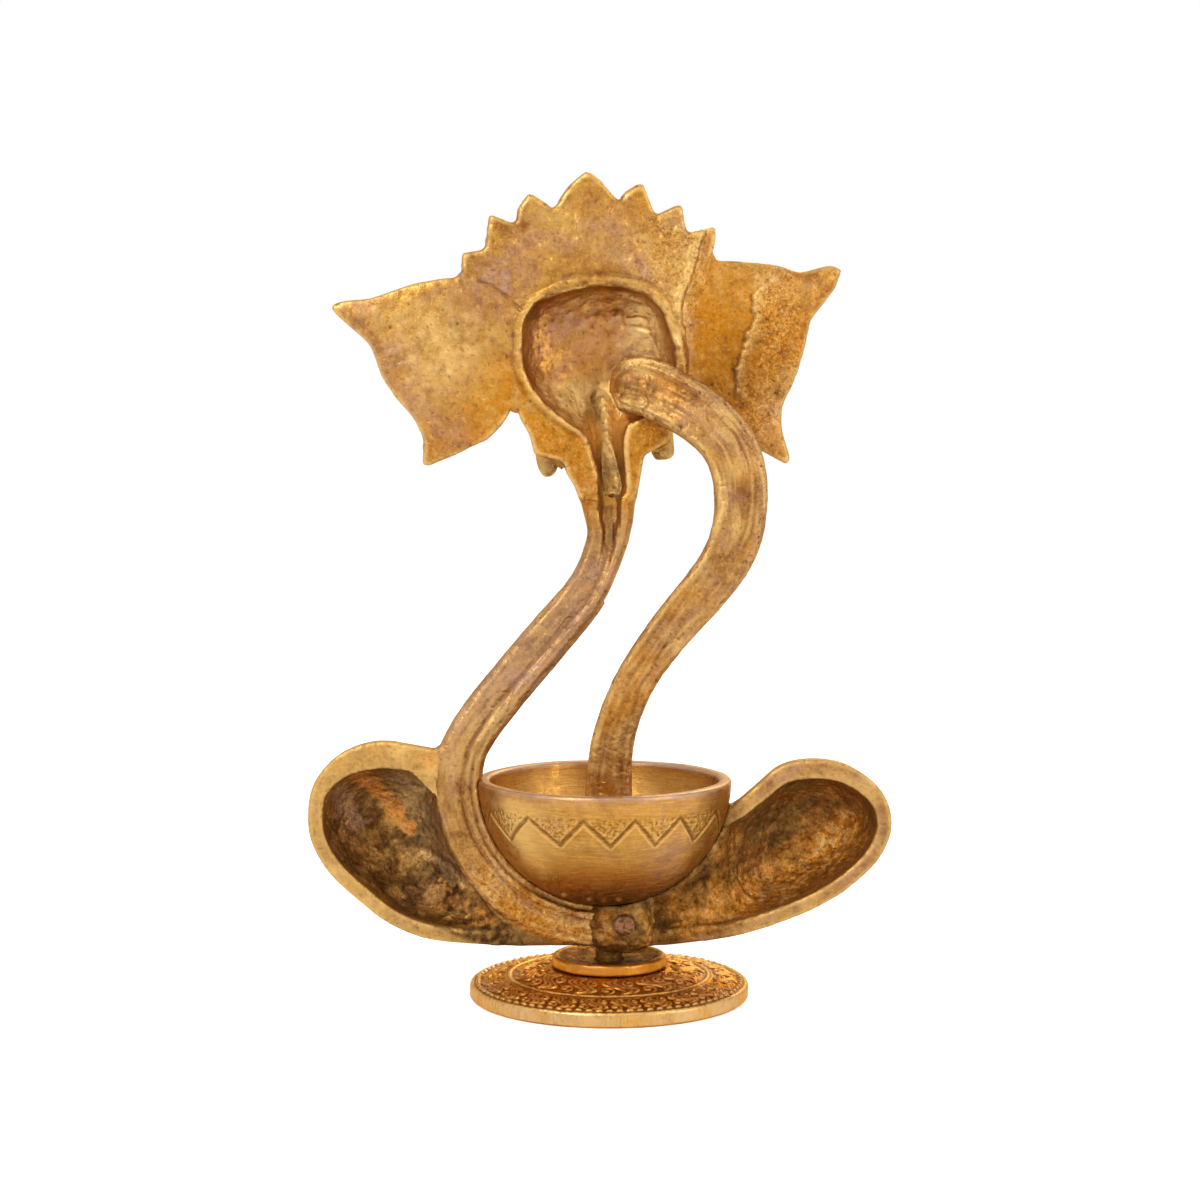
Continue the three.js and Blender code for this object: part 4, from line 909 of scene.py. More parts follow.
def crown_front(x, z):
    """A row of beads between two rings, with leaves above them: their height and shade."""
    out, turn = np.hypot(x, z) - FACE_TOP, np.arctan2(z, x)
    beside = ((np.degrees(turn) / BEAD_TURN) % 1 - 0.5) * math.radians(BEAD_TURN) * (out + FACE_TOP)
    bead = np.hypot(out - BEADS_AT, beside) / BEAD_R
    height = 0.8 * np.sqrt(np.clip(1 - bead**2, 0, 1))
    height += 0.45 * (hump(out - BEADS_AT + 2.5, 0.5) + hump(out - BEADS_AT - 2.4, 0.5))
    leaf, across = petals((out - LEAVES_AT) / LEAF_LENGTH, turn, LEAVES)
    height += 0.4 * leaf - 0.4 * hump(across, 0.05) * (leaf > 0)
    shade = (1 - leaf) * step(out, LEAVES_AT, LEAVES_AT + 1) * 0.5
    return height, shade + 0.5 * (bead > 1) * hump(out - BEADS_AT, 1.6)


def ear_front(x, z):
    """Ribs fanned out from the ear's root, and a line along its border: their height and shade."""
    out, up = np.abs(x) - 14, z - 2
    root, turn = np.hypot(out, up), np.degrees(np.arctan2(up, out))
    rib = np.abs((turn / EAR_RIB_TURN) % 1 - 0.5) * 2
    fan = step(root, 9, 14) * (1 - step(root, 36, 44))
    height = fan * (0.45 * (1 - step(rib, 0.0, 0.5)) - 0.2 * step(rib, 0.7, 1))
    return height + 0.4 * hump(root - 38, 0.9), fan * 0.35 * step(rib, 0.6, 1)


FRONTS = {"face": face_front, "crown": crown_front, "ear_left": ear_front, "ear_right": ear_front}


def head_front(surface):
    """The side that the photograph doesn't show."""
    p, n = in_head(surface)
    front = step(-n[:, 1], 0.2, 0.6)
    height = 0.06 * rough(p, 4, 3, 81) * front
    surface.add("shade", front * 0.3 * step(noise(p, 3, 83), 0.1, 0.6))
    if surface.name in FRONTS:
        raised, shade = FRONTS[surface.name](p[:, 0], p[:, 2])
        height += front * raised
        surface.add("shade", front * shade)
    else:
        height += 0.08 * noise(p * [1, 1, 0.2], 1.1, 82)  # a tusk's fine lines
    surface.push(height)


# Trunk, strut, legs and hub

ARC_POINTS = 16


def arc(radius, start, end):
    """Points round the bowl's middle, from one angle to another."""
    turn = np.radians(np.linspace(start, end, ARC_POINTS))
    return [(BOWL_X + radius * math.cos(t), BOWL_Z + radius * math.sin(t)) for t in turn]


TRUNK_PATH = [(-0.4, 128.1), (-0.6, 120.3), (1.6, 112.4), (5.7, 104.4), (12.0, 96.7), (19.6, 88.0),
              (26.5, 79.8), (32.9, 71.8), (37.5, 63.9)] + arc(37.35, 0, -88)
STRUT_PATH = [(-0.6, 157.9), (-10.2, 156.4), (-17.0, 152.9), (-24.0, 148.4), (-29.5, 142.7),
              (-32.2, 136.0), (-32.9, 128.6), (-32.2, 121.1), (-29.4, 113.5), (-24.9, 106.9),
              (-14.6, 94.5), (-6.1, 81.7), (-1.2, 67.9), (0.0, 56.8), (0.2, 40.0), (0.5, 28.0)]


def streaks(along, across, size, stretch, seed):
    """Marks drawn out along a path."""
    return noise(np.stack([along / stretch, across, 0 * along], axis=1), size, seed)


def trunk_marks(surface):
    """Grooves and tarnish along the back, and rings across the front."""
    run_channel(surface)
    p, n = surface.points, surface.normals
    along, across = on_path(p, TRUNK_PATH)
    back, front = step(n[:, 1], 0.15, 0.55), step(-n[:, 1], 0.1, 0.5)
    jaw = 1 - step(along, 4, 22)
    beside_bowl = step(along, 62, 80)
    fine = streaks(along, across, 0.9, 7, 91)
    wide = streaks(along, across, 2.4, 6, 92)
    height = back * (0.1 * fine + 0.16 * wide) + 0.08 * rough(p, 3.2, 3, 93)
    groove_a = across - 3.4 - 0.5 * noise(p, 14, 94)
    groove_b = across - 1.0 - 0.4 * noise(p, 14, 95)
    height -= back * beside_bowl * (0.4 * hump(groove_a, 0.4) + 0.22 * hump(groove_b, 0.35))
    height -= back * (1 - jaw) * (1 - beside_bowl) * 0.3 * hump(across - 1.6 - 0.6 * noise(p, 10, 96), 0.7)
    fold = np.abs((along / 4.3) % 1 - 0.5) * 2 + 0.1 * noise(p, 5, 97)
    rings = step(fold, 0.68, 1.0) * (1 - step(along, 95, 112))
    height -= front * 0.55 * rings
    height += front * 0.12 * (1 - rings)
    pits = step(noise(p, 0.9, 98), 0.5, 0.8)
    height -= back * 0.22 * pits
    surface.push(height)
    surface.add("shade", back * beside_bowl * (0.6 * hump(groove_a, 0.5) + 0.3 * hump(groove_b, 0.4)))
    surface.add("shade", front * 0.6 * rings + back * 0.5 * pits)
    surface.add("green", back * jaw * 0.9 * (p[:, 1] < 0.2))
    surface.add("shade", back * 0.35 * step(-fine - 0.5 * wide, 0.2, 0.9))
    surface.add("mauve", back * 0.8 * step(wide + 0.6 * rough(p, 7, 2, 99), -0.1, 0.6) * step(along, 0, 16))
    surface.add("pale", back * 0.5 * step(noise(p, 11, 100) + 0.5 * fine, 0.0, 0.7) * (1 - jaw))
    surface.add("grey", back * 0.3 * (1 - jaw) * (1 - beside_bowl))
    end = step(along, 98, 110)
    surface.add("glow", back * end * 0.85)
    surface.add("pale", back * 0.5 * end * step(noise(p, 1.3, 102), 0, 0.6))
    surface.add("glow", back * (1 - step(along, 2, 12)) * 0.5)
    surface.add("grit", 0.3 + 0.8 * end)
    surface.push(end * back * 0.14 * noise(p, 1.0, 101))


def strut_marks(surface):
    """Long streaks, a filed upper end with a patch of braze metal, and a pitted outer border."""
    p, n = surface.points, surface.normals
    along, across = on_path(p, STRUT_PATH)
    back, front = step(n[:, 1], 0.1, 0.5), step(-n[:, 1], 0.1, 0.5)
    fine = streaks(along, across, 0.8, 8, 111)
    wide = streaks(along, across, 2.2, 8, 112)
    height = (back + front) * (0.14 * fine + 0.24 * wide) + 0.1 * rough(p, 2.6, 3, 113)
    border = np.hypot(across / 5.6, np.clip(8 - along, 0, 99) / 8.6) + 0.03 * noise(p, 2, 120)
    height += back * (along < 24) * 0.3 * hump(border - 0.93, 0.07)
    patch = np.hypot((along - 6.2) / 3.6, (across + 3.6) / 1.6)
    height += back * (0.3 * (1 - step(patch, 0.8, 1.05)) - 0.25 * hump(patch - 1.12, 0.12))
    nick = hump(np.hypot(along - 21, (across + 4.6) * 1.5), 1.0)
    height -= back * 0.5 * nick
    outer = across - 1.9 - 1.3 * np.sin(along / 17) - 0.7 * noise(p, 8, 114)
    inner = across + 2.4 - 0.9 * np.sin(along / 13) - 0.7 * noise(p, 8, 119)
    gate = np.clip(0.6 + 0.8 * noise(p, 12, 121), 0, 1) * step(along, 10, 24)
    line = (hump(outer, 0.42) + 0.7 * hump(inner, 0.35)) * gate
    height -= back * 0.35 * line
    pits = step(noise(p, 0.9, 115), 0.42, 0.75)
    outer_border = step(across, 3.4, 5.2) * step(along, 8, 20) * (1 - step(along, 60, 85))
    height -= back * (0.2 + 0.15 * outer_border) * pits
    surface.push(height)
    surface.add("shade", back * (0.5 * pits * (1 + outer_border) + 0.5 * nick + 0.5 * line))
    surface.add("shade", back * 0.28 * step(-fine - 0.6 * wide, 0.1, 0.9))
    surface.add("mauve", back * 0.5 * outer_border + 0.6 * step(wide + 0.5 * rough(p, 6, 2, 116), 0, 0.7))
    surface.add("red", back * 0.5 * hump(outer - 0.5, 1.2) * gate)
    surface.add("pale", back * 0.6 * step(fine + noise(p, 8, 117), -0.1, 0.8))
    surface.add("pale", back * (0.5 * hump(across + 5.2, 1.0) + 0.35 * step(along, 112, 125)))
    surface.add("glow", 0.5 * step(noise(p, 12, 118), 0.0, 0.6) + 0.4 * step(along, 112, 125))
    head = step(border, 0.8, 0.95) * (along < 14)
    surface.add("pale", back * 0.6 * head)
    surface.add("grit", 0.35 + 0.6 * outer_border + 0.6 * head)


LEG_FLAT = (44, 58)  # x, z of the left hollow's top inner corner
LEG_MIDDLE = (57, 40)  # x, z of the left hollow's middle
SLOPE_BOW = 15.5  # how far the right hollow's slope runs out
LEG_AXIS = {"leg_left": [(66, 42), (50, 26), (30, 19)], "leg_right": [(-64, 42), (-45, 27), (-16, 19)]}


def round_corner(surface):
    """Rounds the left hollow's top inner corner, with a flat of metal beside the trunk."""
    p, n = surface.points, surface.normals
    x, y, z = p.T
    a, b = LEG_FLAT
    flat = step(7.0 - (x - a) - (b - z) + 0.5 * noise(p, 3, 130), 0, 1.4) * (x > a - 6)
    inner = (y < LEG_RIM_Y - 0.1) * (y > LEG_RIM_Y - 12) * (n[:, 1] > -0.3)
    reach = np.hypot(x - LEG_MIDDLE[0], z - LEG_MIDDLE[1])
    inner &= (n[:, 1] > 0.5) | (n[:, 0] * (LEG_MIDDLE[0] - x) + n[:, 2] * (LEG_MIDDLE[1] - z) > 0)
    surface.lift(flat * inner * (reach < 24) * np.maximum(LEG_RIM_Y - 0.25 - y, 0))


def run_out(surface):
    """Runs the right hollow out into a rough slope before it reaches the hub."""
    n = surface.normals
    x, y, z = surface.points.T
    axis = LEG_AXIS["leg_right"]
    inner = near_line(x + 0.1 * n[:, 0], z + 0.1 * n[:, 2], axis) < near_line(x, z, axis)
    floor = (inner | (n[:, 1] > 0.5)) * step(x, -40, -22) * (n[:, 1] > -0.3) * (y > LEG_RIM_Y - 9)
    gap = np.maximum(LEG_RIM_Y - 1.0 - ((x + 16) / SLOPE_BOW) ** 2 - y, 0)
    surface.lift(0.9 * floor * gap)


def leg_marks(surface):
    """Rough lows, a lumpy rim, folds on the front, and the colours of each hollow."""
    left = surface.name == "leg_left"
    if left:
        round_corner(surface)
    else:
        run_out(surface)
    p, n = surface.points, surface.normals
    x, y, z = p.T
    back, front = step(n[:, 1], 0.1, 0.5), step(-n[:, 1], 0.1, 0.5)
    hollow = step(LEG_RIM_Y - 1.2 - y, 0, 1.6) * step(n[:, 1], -0.2, 0.25)
    if not left:
        over_axis = z - np.interp(x, *np.array(LEG_AXIS["leg_right"]).T)
        slope = back * step(x, -44, -34) * step(over_axis, -5.0, -3.5)
        hollow = np.maximum(hollow, slope * (1 - step(over_axis, 8, 10) * (1 - step(x, -36, -28))))
    rim = back * (1 - hollow)
    lumps = rough(p, 2.6, 3, 122)
    height = hollow * (0.3 * noise(p, 7, 121) + 0.26 * lumps)
    height += rim * (0.22 * noise(p, 8, 123) + 0.12 * rough(p, 2.4, 2, 124))
    height += front * 0.06 * rough(p, 4, 3, 125)
    pits = step(noise(p, 1.1, 126), 0.42, 0.75)
    height -= (hollow * 0.3 + rim * 0.15) * pits
    reach = np.hypot(np.abs(x - BOWL_X) - 52, z - 41)
    fold = np.abs(((reach + 1.5 * noise(p, 16, 127)) / 6.5) % 1 - 0.5) * 2
    height -= front * 0.35 * step(fold, 0.72, 1.0) * step(reach, 8, 12)
    surface.push(height)
    surface.add("shade", front * 0.5 * step(fold, 0.75, 1.0) * step(reach, 8, 12) + 0.35 * pits * back)
    surface.add("shade", 0.3 * step(-lumps, 0.1, 0.8) * (hollow + 0.6 * rim))
    surface.add("grit", 0.3 + 0.5 * hollow)
    if left:
        left_colours(surface, p, back, hollow)
    else:
        right_colours(surface, p, back, hollow)


def left_colours(surface, p, back, hollow):
    """A dark low with an orange streak, a tan and a smooth patch, and a red border below it."""
    x, _, z = p.T
    rim = back * (1 - hollow)
    blotch = rough(p, 7, 4, 129)
    edges = 1.1 * noise(p, 2.2, 133) + 0.9 * noise(p, 5, 134) + 0.6 * noise(p, 1.0, 138)

    def ragged(line, half):
        """A band about a line, with uneven borders."""
        return step(half + edges - near_line(x, z, line), 0, 1.6)

    dark = np.clip(spots(x, z, [(60, 33, 15, 1.3), (46, 22, 10, 1.2), (68, 38, 8, 0.8)]), 0, 1)
    dark *= step(blotch, -0.45, 0.15)
    smooth = hump(near_line(x, z, [(52, 57), (47, 42), (42, 32)]), 5)
    streak = np.maximum(ragged([(64, 57), (59, 50), (53, 42)], 3.0), ragged([(46, 31), (41, 26)], 1.2))
    tan = ragged([(70, 52), (66, 44)], 3.5)
    surface.add("shade", hollow * dark * 0.68 * (1 - streak) * (1 - 0.8 * tan))
    surface.add("amber", hollow * streak * (0.75 + 0.35 * noise(p, 1.0, 139)))
    surface.add("grey", hollow * (0.35 * tan + 0.5 * smooth) * (1 - streak))
    surface.add("mauve", hollow * 0.8 * tan * (1 - streak))
    surface.add("green", hollow * (1 - streak) * (0.9 * smooth + 0.4 * step(blotch, -0.3, 0.3)))
    surface.add("red", hollow * (1 - streak) * (1 - smooth) * 0.5 * step(rough(p, 5, 3, 140), -0.2, 0.4))
    surface.add("pale", hollow * (0.25 * step(-blotch, -0.1, 0.4) + 0.3 * smooth) * (1 - streak))
    surface.add("mauve", hollow * 0.6 * hump(np.hypot(x - 50, z - 25), 4))
    beside_axis = 1 - step(near_line(x, z, LEG_AXIS["leg_left"]), 4.5, 6.0)
    under = back * step(47 - x, 0, 5) * beside_axis * (z < 28)
    surface.add("red", under * 0.8)
    surface.add("shade", under * 0.6 * step(noise(p, 2.0, 141), -0.5, 0.2))
    surface.add("glow", under * 0.5 * step(-noise(p, 2.0, 141), 0, 0.4))
    surface.add("grit", under)
    surface.add("amber", 0.9 * rim * hump(np.hypot(x - 45.5, z - 61), 2.6))
    surface.add("pale", rim * (0.45 + 0.4 * step(noise(p, 9, 131), -0.1, 0.5)))
    surface.add("shade", rim * 0.6 * step(-x, -44, -30) * step(-z, -22, -17))


def right_colours(surface, p, back, hollow):
    """A warm grainy band along the low, green and red tarnish above it, and a mauve rim."""
    x, _, z = p.T
    rim = back * (1 - hollow)
    lumps, blotch = rough(p, 2.6, 3, 122), rough(p, 7, 4, 129)
    broken = np.clip(0.7 + 0.7 * rough(p, 3.4, 3, 128), 0, 1.5)
    warm = hump(near_line(x, z, [(-62, 41), (-52, 33), (-38, 26), (-22, 21)]), 5.5)
    warm = np.clip(warm * (1.1 + 0.8 * rough(p, 5, 3, 135)), 0, 1)
    grains = step(noise(p, 0.9, 136) + 0.5 * lumps, -0.1, 0.5)
    upper = hollow * (1 - warm)
    surface.add("shade", upper * (0.2 + 0.35 * step(blotch, -0.3, 0.4)))
    surface.add("green", upper * 0.6 * step(blotch, -0.5, 0.2))
    surface.add("red", upper * 0.5 * step(-blotch, -0.3, 0.3))
    surface.add("glow", hollow * (0.1 + 1.0 * warm))
    surface.add("amber", hollow * warm * grains * 0.8)
    glint = hump(near_line(x, z, [(-61, 44), (-56, 36)]), 2.5)
    glint += hump(near_line(x, z, [(-46, 26), (-34, 22)]), 2)
    surface.add("pale", hollow * np.clip(0.35 * warm + glint, 0, 1) * step(lumps, -0.1, 0.5))
    surface.add("grit", hollow * warm)
    surface.add("mauve", rim * (0.35 + 0.3 * step(-blotch, 0, 0.4)))
    surface.add("green", rim * 0.5 * step(noise(p, 7, 143), 0, 0.4))
    surface.add("pale", rim * 0.45 * step(noise(p, 9, 137), -0.2, 0.4))
    near_hub = back * step(x, -38, -26)
    surface.add("red", near_hub * 0.7)
    surface.add("glow", near_hub * 0.6 * broken)
    surface.add("shade", near_hub * 0.45 * broken)


def close_on_bowl(surface):
    """Swells a casting's side against the bowl, where braze metal fills the gap."""
    d = surface.points - [BOWL_X, 0, BOWL_Z]
    d[:, 2] = np.minimum(d[:, 2], 0)
    reach = np.linalg.norm(d, axis=1)
    towards = -np.einsum("ij,ij->i", surface.normals, d) / reach
    surface.push(0.4 * step(BOWL_R + 1.0 - reach, 0, 0.4) * step(towards, 0.3, 0.7))


def hub_marks(surface):
    """A rough lump, with painted shade where it lies under the bowl."""
    p = surface.points
    surface.push(0.5 * rough(p, 4.5, 3, 141) + 0.15 * noise(p, 1.1, 142) - 0.1)
    surface.add("shade", 0.45 * step(rough(p, 4, 3, 143), -0.2, 0.4))
    surface.add("red", 0.7 * step(p[:, 0], -4, 2))
    surface.add("green", 0.5 * step(-p[:, 0], 4, 8))
    surface.add("glow", 0.6 * step(-noise(p, 5, 144), -0.2, 0.5))
    # Painted shade at the top, under the bowl
    surface.add("shade", 0.4 * step(p[:, 2], HUB_Z + 10, HUB_Z + 13))
    surface.add("pale", 0.35 * step(noise(p, 3, 145), 0, 0.5))
    surface.add("grit", np.full(len(p), 0.7))


# Materials

METAL = 0.85  # how metallic the brass is, under its tarnish
# Colours of 0 to 255, each laid over the ones before it; pale also serves as painted highlight, and grey as
# painted shading on some slopes
PAINTS = {"green": (150, 124, 74), "red": (142, 76, 26), "glow": (192, 122, 22),
          "mauve": (176, 128, 96), "grey": (182, 154, 138), "amber": (246, 164, 78),
          "pale": (226, 184, 112)}


def linear(colour):
    """An sRGB colour of 0 to 255 as Blender's linear one."""
    return tuple(((v / 255 + 0.055) / 1.055) ** 2.4 for v in colour) + (1.0,)


class Nodes:
    """A short way to write the nodes of a material or a world."""

    def __init__(self, owner):
        owner.use_nodes = True
        self.owner = owner
        self.tree = owner.node_tree
        self.tree.nodes.clear()

    def add(self, kind, inputs=None, **settings):
        """A new node with values or other nodes' outputs for its inputs."""
        node = self.tree.nodes.new(kind)
        for key, value in settings.items():
            setattr(node, key, value)
        for key, value in (inputs or {}).items():
            self.set(node.inputs[key], value)
        return node

    def set(self, socket, value):
        """Links an output to an input, or gives the input a value."""
        if isinstance(value, bpy.types.NodeSocket):
            self.tree.links.new(value, socket)
        else:
            socket.default_value = value

    def math(self, operation, *values, clamp=False):
        node = self.add("ShaderNodeMath", operation=operation, use_clamp=clamp)
        for socket, value in zip(node.inputs, values):
            self.set(socket, value)
        return node.outputs[0]

    def mix(self, share, colour, tone):
        """A colour with a share of a tone, given as 0 to 255, laid over it."""
        node = self.add("ShaderNodeMix", data_type="RGBA", clamp_factor=True)
        for index, value in ((0, share), (6, colour), (7, linear(tone))):
            self.set(node.inputs[index], value)
        return node.outputs[2]

    def range(self, value, low, high, to_low=0.0, to_high=1.0):
        """A value taken from one range to another, with soft ends."""
        node = self.add("ShaderNodeMapRange", {0: value, 1: low, 2: high, 3: to_low, 4: to_high},
                        interpolation_type="SMOOTHSTEP")
        return node.outputs[0]

    def noise(self, place, size, detail=3.0, roughness=0.55, distortion=0.0):
        """Noise whose swellings are about the given size in millimetres."""
        node = self.add("ShaderNodeTexNoise", {"Vector": place, "Scale": 1 / (size * MM),
                        "Detail": detail, "Roughness": roughness, "Distortion": distortion})
        return node.outputs[0]

    def paint(self, name):
        """A paint's value, which the mesh carries at its points."""
        node = self.add("ShaderNodeAttribute", attribute_name=name, attribute_type="GEOMETRY")
        return node.outputs["Fac"]

    def seen(self):
        """1 where the camera sees a thing itself or its reflection, 0 where it only gives light."""
        path = self.add("ShaderNodeLightPath").outputs
        shown = self.math("MAXIMUM", path["Is Camera Ray"], path["Is Glossy Ray"])
        return self.math("MAXIMUM", shown, path["Is Transmission Ray"])


def brass(name, gold, brown, light, dark, rough=0.42, grain=0.25, pits=0.15, edges=0.6, brushed=0.0):
    """Aged cast brass: patchy gold and brown and grainy, with painted highlight on the edges and painted
    shade in the lows.
    """
    n = Nodes(bpy.data.materials.new(name))
    place = n.add("ShaderNodeTexCoord").outputs["Object"]
    patches = n.noise(place, 11, 5, 0.64, 0.6)
    mottle = n.noise(place, 3.2, 5, 0.66, 0.5)
    speck = n.noise(place, 0.9, 4, 0.7)
    fine = n.noise(place, 0.42, 3, 0.65)
    stain = n.noise(place, 15, 5, 0.62, 1.4)
    edge = n.paint("edge")
    grit = n.math("ADD", n.paint("grit"), 0.2)
    tarnished = n.math("ADD", n.range(patches, 0.4, 0.6, 0, 0.65), n.range(mottle, 0.42, 0.6, -0.1, 0.36))
    colour = n.mix(tarnished, linear(gold), brown)
    colour = n.mix(n.range(stain, 0.53, 0.66, 0, 0.5), colour, PAINTS["mauve"])
    colour = n.mix(n.range(stain, 0.45, 0.33, 0, 0.45), colour, PAINTS["glow"])
    for paint, tone in PAINTS.items():
        share = n.math("MULTIPLY", n.paint(paint), n.range(mottle, 0.3, 0.6, 0.4, 1.0))
        colour = n.mix(share, colour, tone)
    for grains, low, high, most, tone in ((speck, 0.53, 0.64, 0.5, dark), (speck, 0.47, 0.36, 0.42, light),
                                          (fine, 0.54, 0.68, 0.45, dark), (fine, 0.45, 0.34, 0.3, light)):
        share = n.math("MULTIPLY", n.range(grains, low, high, 0, most), grit, clamp=True)
        colour = n.mix(share, colour, tone)
    # Painted highlight on swelling edges, painted shade in creases, and painted shade as brown in the deep
    # lows
    colour = n.mix(n.range(edge, 0.2, 0.85, 0, edges), colour, light)
    colour = n.mix(n.range(edge, -0.1, -0.75, 0, 0.5), colour, dark)
    colour = n.mix(n.range(n.paint("deep"), 0.25, 1.0, 0, 0.3), colour, brown)
    shade = n.math("MULTIPLY", n.paint("shade"), n.range(mottle, 0.3, 0.6, 0.6, 1.0))
    colour = n.mix(shade, colour, dark)
    roughness = n.range(mottle, 0.35, 0.65, rough - 0.1, rough + 0.12)
    roughness = n.math("ADD", roughness, n.math("MULTIPLY", n.paint("shade"), 0.15))
    holes = n.add("ShaderNodeTexVoronoi", {"Vector": place, "Scale": 1 / (1.5 * MM),
                  "Randomness": 1.0}).outputs["Distance"]
    height = n.math("ADD", n.math("MULTIPLY", n.math("MULTIPLY", speck, grain), grit),
                    n.math("MULTIPLY", n.range(holes, 0.0, 0.2), pits))
    height = n.math("ADD", height, n.math("MULTIPLY", mottle, grain * 1.6))
    if brushed:
        flat = n.add("ShaderNodeMapping", {"Vector": place, "Scale": (1, 1, 16)}).outputs[0]
        lines = n.noise(flat, 5, 4, 0.7)
        height = n.math("ADD", height, n.math("MULTIPLY", lines, brushed))
        colour = n.mix(n.range(lines, 0.5, 0.62, 0, 0.3), colour, light)
        colour = n.mix(n.range(lines, 0.5, 0.38, 0, 0.3), colour, brown)
    bump = n.add("ShaderNodeBump", {"Height": height, "Strength": 0.7, "Distance": 1.0 * MM})
    shader = n.add("ShaderNodeBsdfPrincipled", {"Base Color": colour, "Roughness": roughness,
                   "Metallic": METAL, "Normal": bump.outputs[0],
                   "Specular Tint": linear((232, 196, 150))})
    n.add("ShaderNodeOutputMaterial", {"Surface": shader.outputs[0]})
    return n.owner


finish = {
    "cast": brass("cast_brass", (200, 148, 66), (150, 94, 38), (230, 188, 114), (98, 56, 20)),
    "bar": brass("bar_brass", (186, 138, 74), (140, 92, 46), (214, 172, 112), (92, 56, 30), edges=0.4),
    "leg": brass("leg_brass", (188, 142, 70), (142, 94, 42), (216, 174, 104), (76, 48, 20), rough=0.5,
                 grain=0.3, pits=0.2, edges=0.5),
    "hub": brass("hub_brass", (166, 118, 54), (126, 84, 36), (204, 158, 90), (66, 42, 16), rough=0.5,
                 grain=0.35, pits=0.2),
    "bowl": brass("bowl_brass", (198, 144, 62), (168, 114, 40), (222, 176, 104), (96, 58, 18),
                  rough=0.36, grain=0.06, pits=0.02, brushed=0.12),
    "base": brass("base_brass", (200, 136, 48), (152, 90, 28), (232, 180, 104), (84, 46, 14),
                  rough=0.36, grain=0.1, pits=0.05),
    "braze": brass("braze_metal", (150, 106, 72), (112, 76, 48), (178, 132, 96), (74, 46, 26),
                   rough=0.5, grain=0.3, pits=0.2),
}


# Objects, surroundings, light and camera, in metres

INSIDE_CAD = 0.02  # millimetres that every piece keeps inside the CAD part's box
WORLD_LIGHT = 0.55  # strength of the white surroundings where they only give light
FLOOR_HALF, FLOOR_GREY, FLOOR_GLOW = 6.0, 0.8, 0.6
LIT_PLACE = (0, 0, 0.1)
LAMPS = {"key": ((0.45, 0.7, 0.75), 0.45, 4.5), "fill": ((-0.7, 0.45, 0.35), 0.6, 1.8),
         "front": ((-0.3, -0.8, 0.6), 0.6, 3.0)}  # place, size, power
# The photograph's viewpoint: from behind the lamp and a little above it
CAMERA_TARGET = (0.00232, 0, 0.1025)
CAMERA_DISTANCE, CAMERA_DOWN = 0.67575, math.radians(4.8)
CAMERA_LENS, CAMERA_SENSOR = 79.5, 36.0  # millimetres


def placed(name, data):
    """A new object in the scene."""
    made = bpy.data.objects.new(name, data)
    bpy.context.scene.collection.objects.link(made)
    return made


def aimed(name, data, place, way):
    """A light or a camera at a place, looking a given way."""
    made = placed(name, data)
    made.location = place
    made.rotation_euler = way.to_track_quat("-Z", "Y").to_euler()
    return made


def to_object(surface, slot):
    """The finished piece as a smooth-shaded object that rides the lamp's one body."""
    low, high = (np.array(v) / MM for v in cad_bounds)
    points = np.clip(surface.points, low + INSIDE_CAD, high - INSIDE_CAD) * MM
    faces = surface.faces
    data = bpy.data.meshes.new(surface.name)
    data.vertices.add(len(points))
    data.vertices.foreach_set("co", points.astype(np.float32).ravel())
    data.loops.add(faces.size)
    data.loops.foreach_set("vertex_index", faces.astype(np.int32).ravel())
    data.polygons.add(len(faces))
    data.polygons.foreach_set("loop_start", np.arange(0, faces.size, 4, dtype=np.int32))
    data.update(calc_edges=True)
    data.validate()
    data.shade_smooth()
    for name in ("edge", "deep", "shade", "grit", *PAINTS):
        value = surface.paint.get(name, np.zeros(len(points)))
        layer = data.attributes.new(name, "FLOAT", "POINT")
        layer.data.foreach_set("value", np.asarray(value, np.float32))
    data.materials.append(finish[slot])
    piece = placed("visual_" + surface.name, data)
    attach(piece, "root")
    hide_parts(surface.name)


def white_world():
    """White surroundings, which light the lamp less than they show."""
    n = Nodes(bpy.data.worlds.new("studio"))
    strength = n.range(n.seen(), 0, 1, WORLD_LIGHT, 1.0)
    background = n.add("ShaderNodeBackground", {"Color": (1, 1, 1, 1), "Strength": strength})
    n.add("ShaderNodeOutputWorld", {"Surface": background.outputs[0]})
    bpy.context.scene.world = n.owner


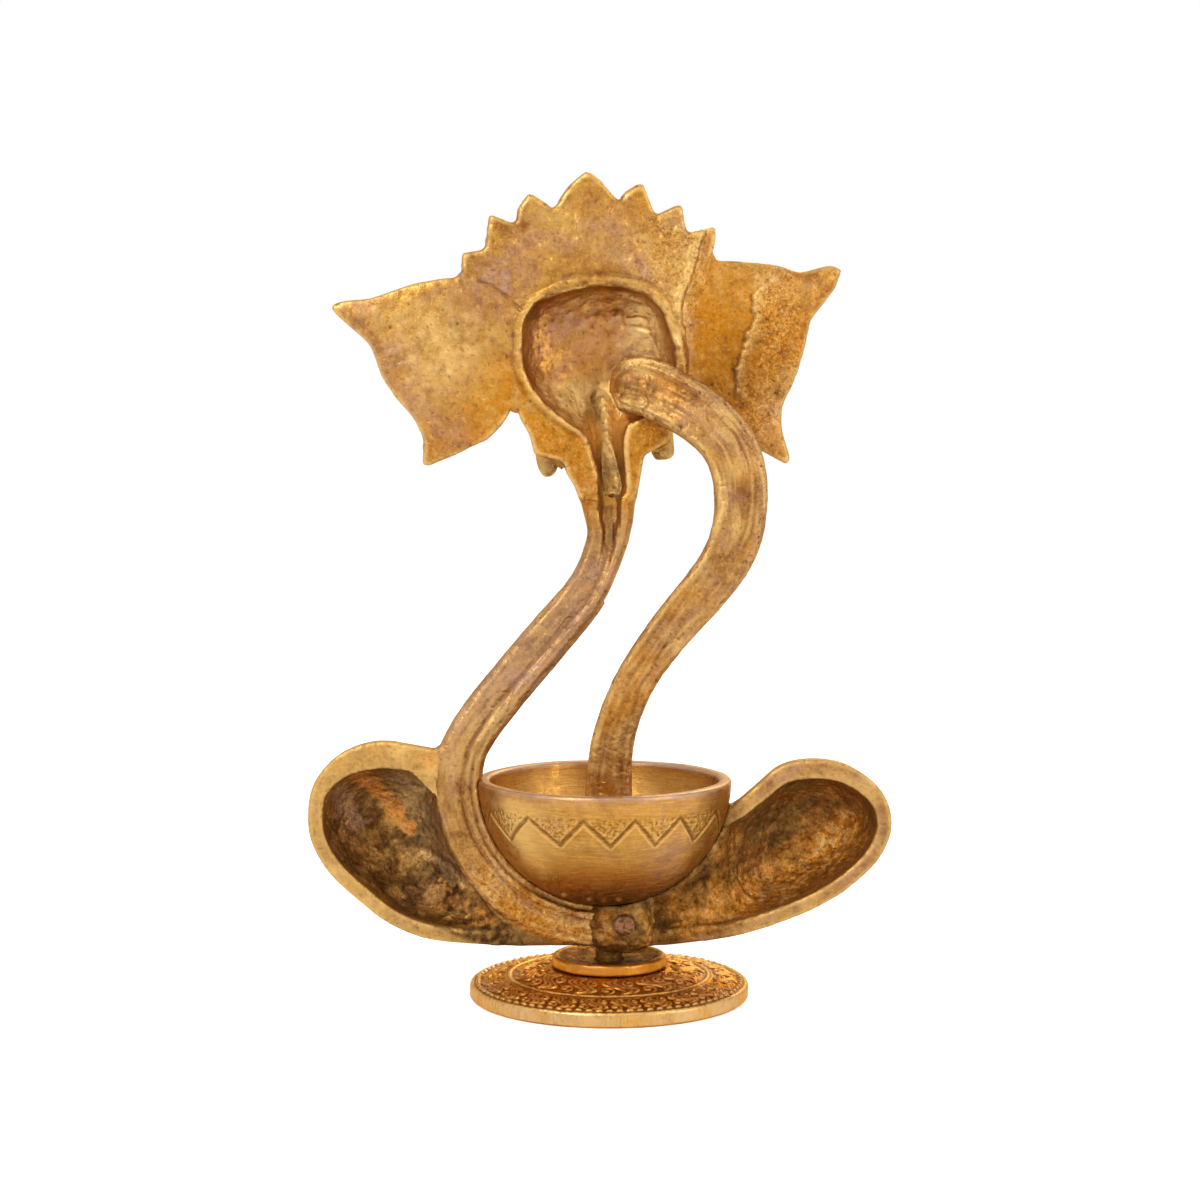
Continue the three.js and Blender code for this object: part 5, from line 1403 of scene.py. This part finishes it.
def pale_floor():
    """A matt floor that shows as white and still takes the lamp's shadow."""
    far = FLOOR_HALF
    data = bpy.data.meshes.new("floor")
    data.from_pydata([(-far, -far, 0), (far, -far, 0), (far, far, 0), (-far, far, 0)], [], [(0, 1, 2, 3)])
    floor = placed("floor", data)
    n = Nodes(bpy.data.materials.new("pale_floor"))
    strength = n.math("MULTIPLY", n.seen(), FLOOR_GLOW)
    matt = n.add("ShaderNodeBsdfDiffuse", {"Color": (FLOOR_GREY, FLOOR_GREY, FLOOR_GREY, 1)})
    glow = n.add("ShaderNodeEmission", {"Color": (1, 1, 1, 1), "Strength": strength})
    both = n.add("ShaderNodeAddShader", {0: matt.outputs[0], 1: glow.outputs[0]})
    n.add("ShaderNodeOutputMaterial", {"Surface": both.outputs[0]})
    data.materials.append(n.owner)


def lights():
    """Round area lamps that all point at the lamp's middle."""
    for name, (place, size, power) in LAMPS.items():
        data = bpy.data.lights.new(name, "AREA")
        data.shape = "DISK"
        data.size = size
        data.energy = power
        aimed(name, data, place, Vector(LIT_PLACE) - Vector(place))


def camera():
    """The photograph's camera."""
    data = bpy.data.cameras.new("camera")
    data.sensor_width = CAMERA_SENSOR
    data.lens = CAMERA_LENS
    back = Vector((0, math.cos(CAMERA_DOWN), math.sin(CAMERA_DOWN)))
    place = Vector(CAMERA_TARGET) + CAMERA_DISTANCE * back
    bpy.context.scene.camera = aimed("camera", data, place, -back)


# The pieces, made one after another

CAST_SLOT = {"trunk": "bar", "leg_left": "leg", "leg_right": "leg", "hub": "hub"}
MARKS = {"trunk": trunk_marks, "leg_left": leg_marks, "leg_right": leg_marks, "hub": hub_marks}

for name, surface in castings().items():
    close_on_bowl(surface)
    if name in MARKS:
        MARKS[name](surface)
    else:
        head_back(surface)
        head_front(surface)
    to_object(surface, CAST_SLOT.get(name, "cast"))
strut = alone("back_strut")
strut_marks(strut)
for surface, slot in ((strut, "bar"), (bowl(), "bowl"), (base_plate(), "base"), (base_collar(), "base"),
                      (stem(), "hub"), (braze_plug(), "braze")):
    to_object(surface, slot)

bpy.context.scene.view_settings.view_transform = "Standard"
white_world()
pale_floor()
lights()
camera()
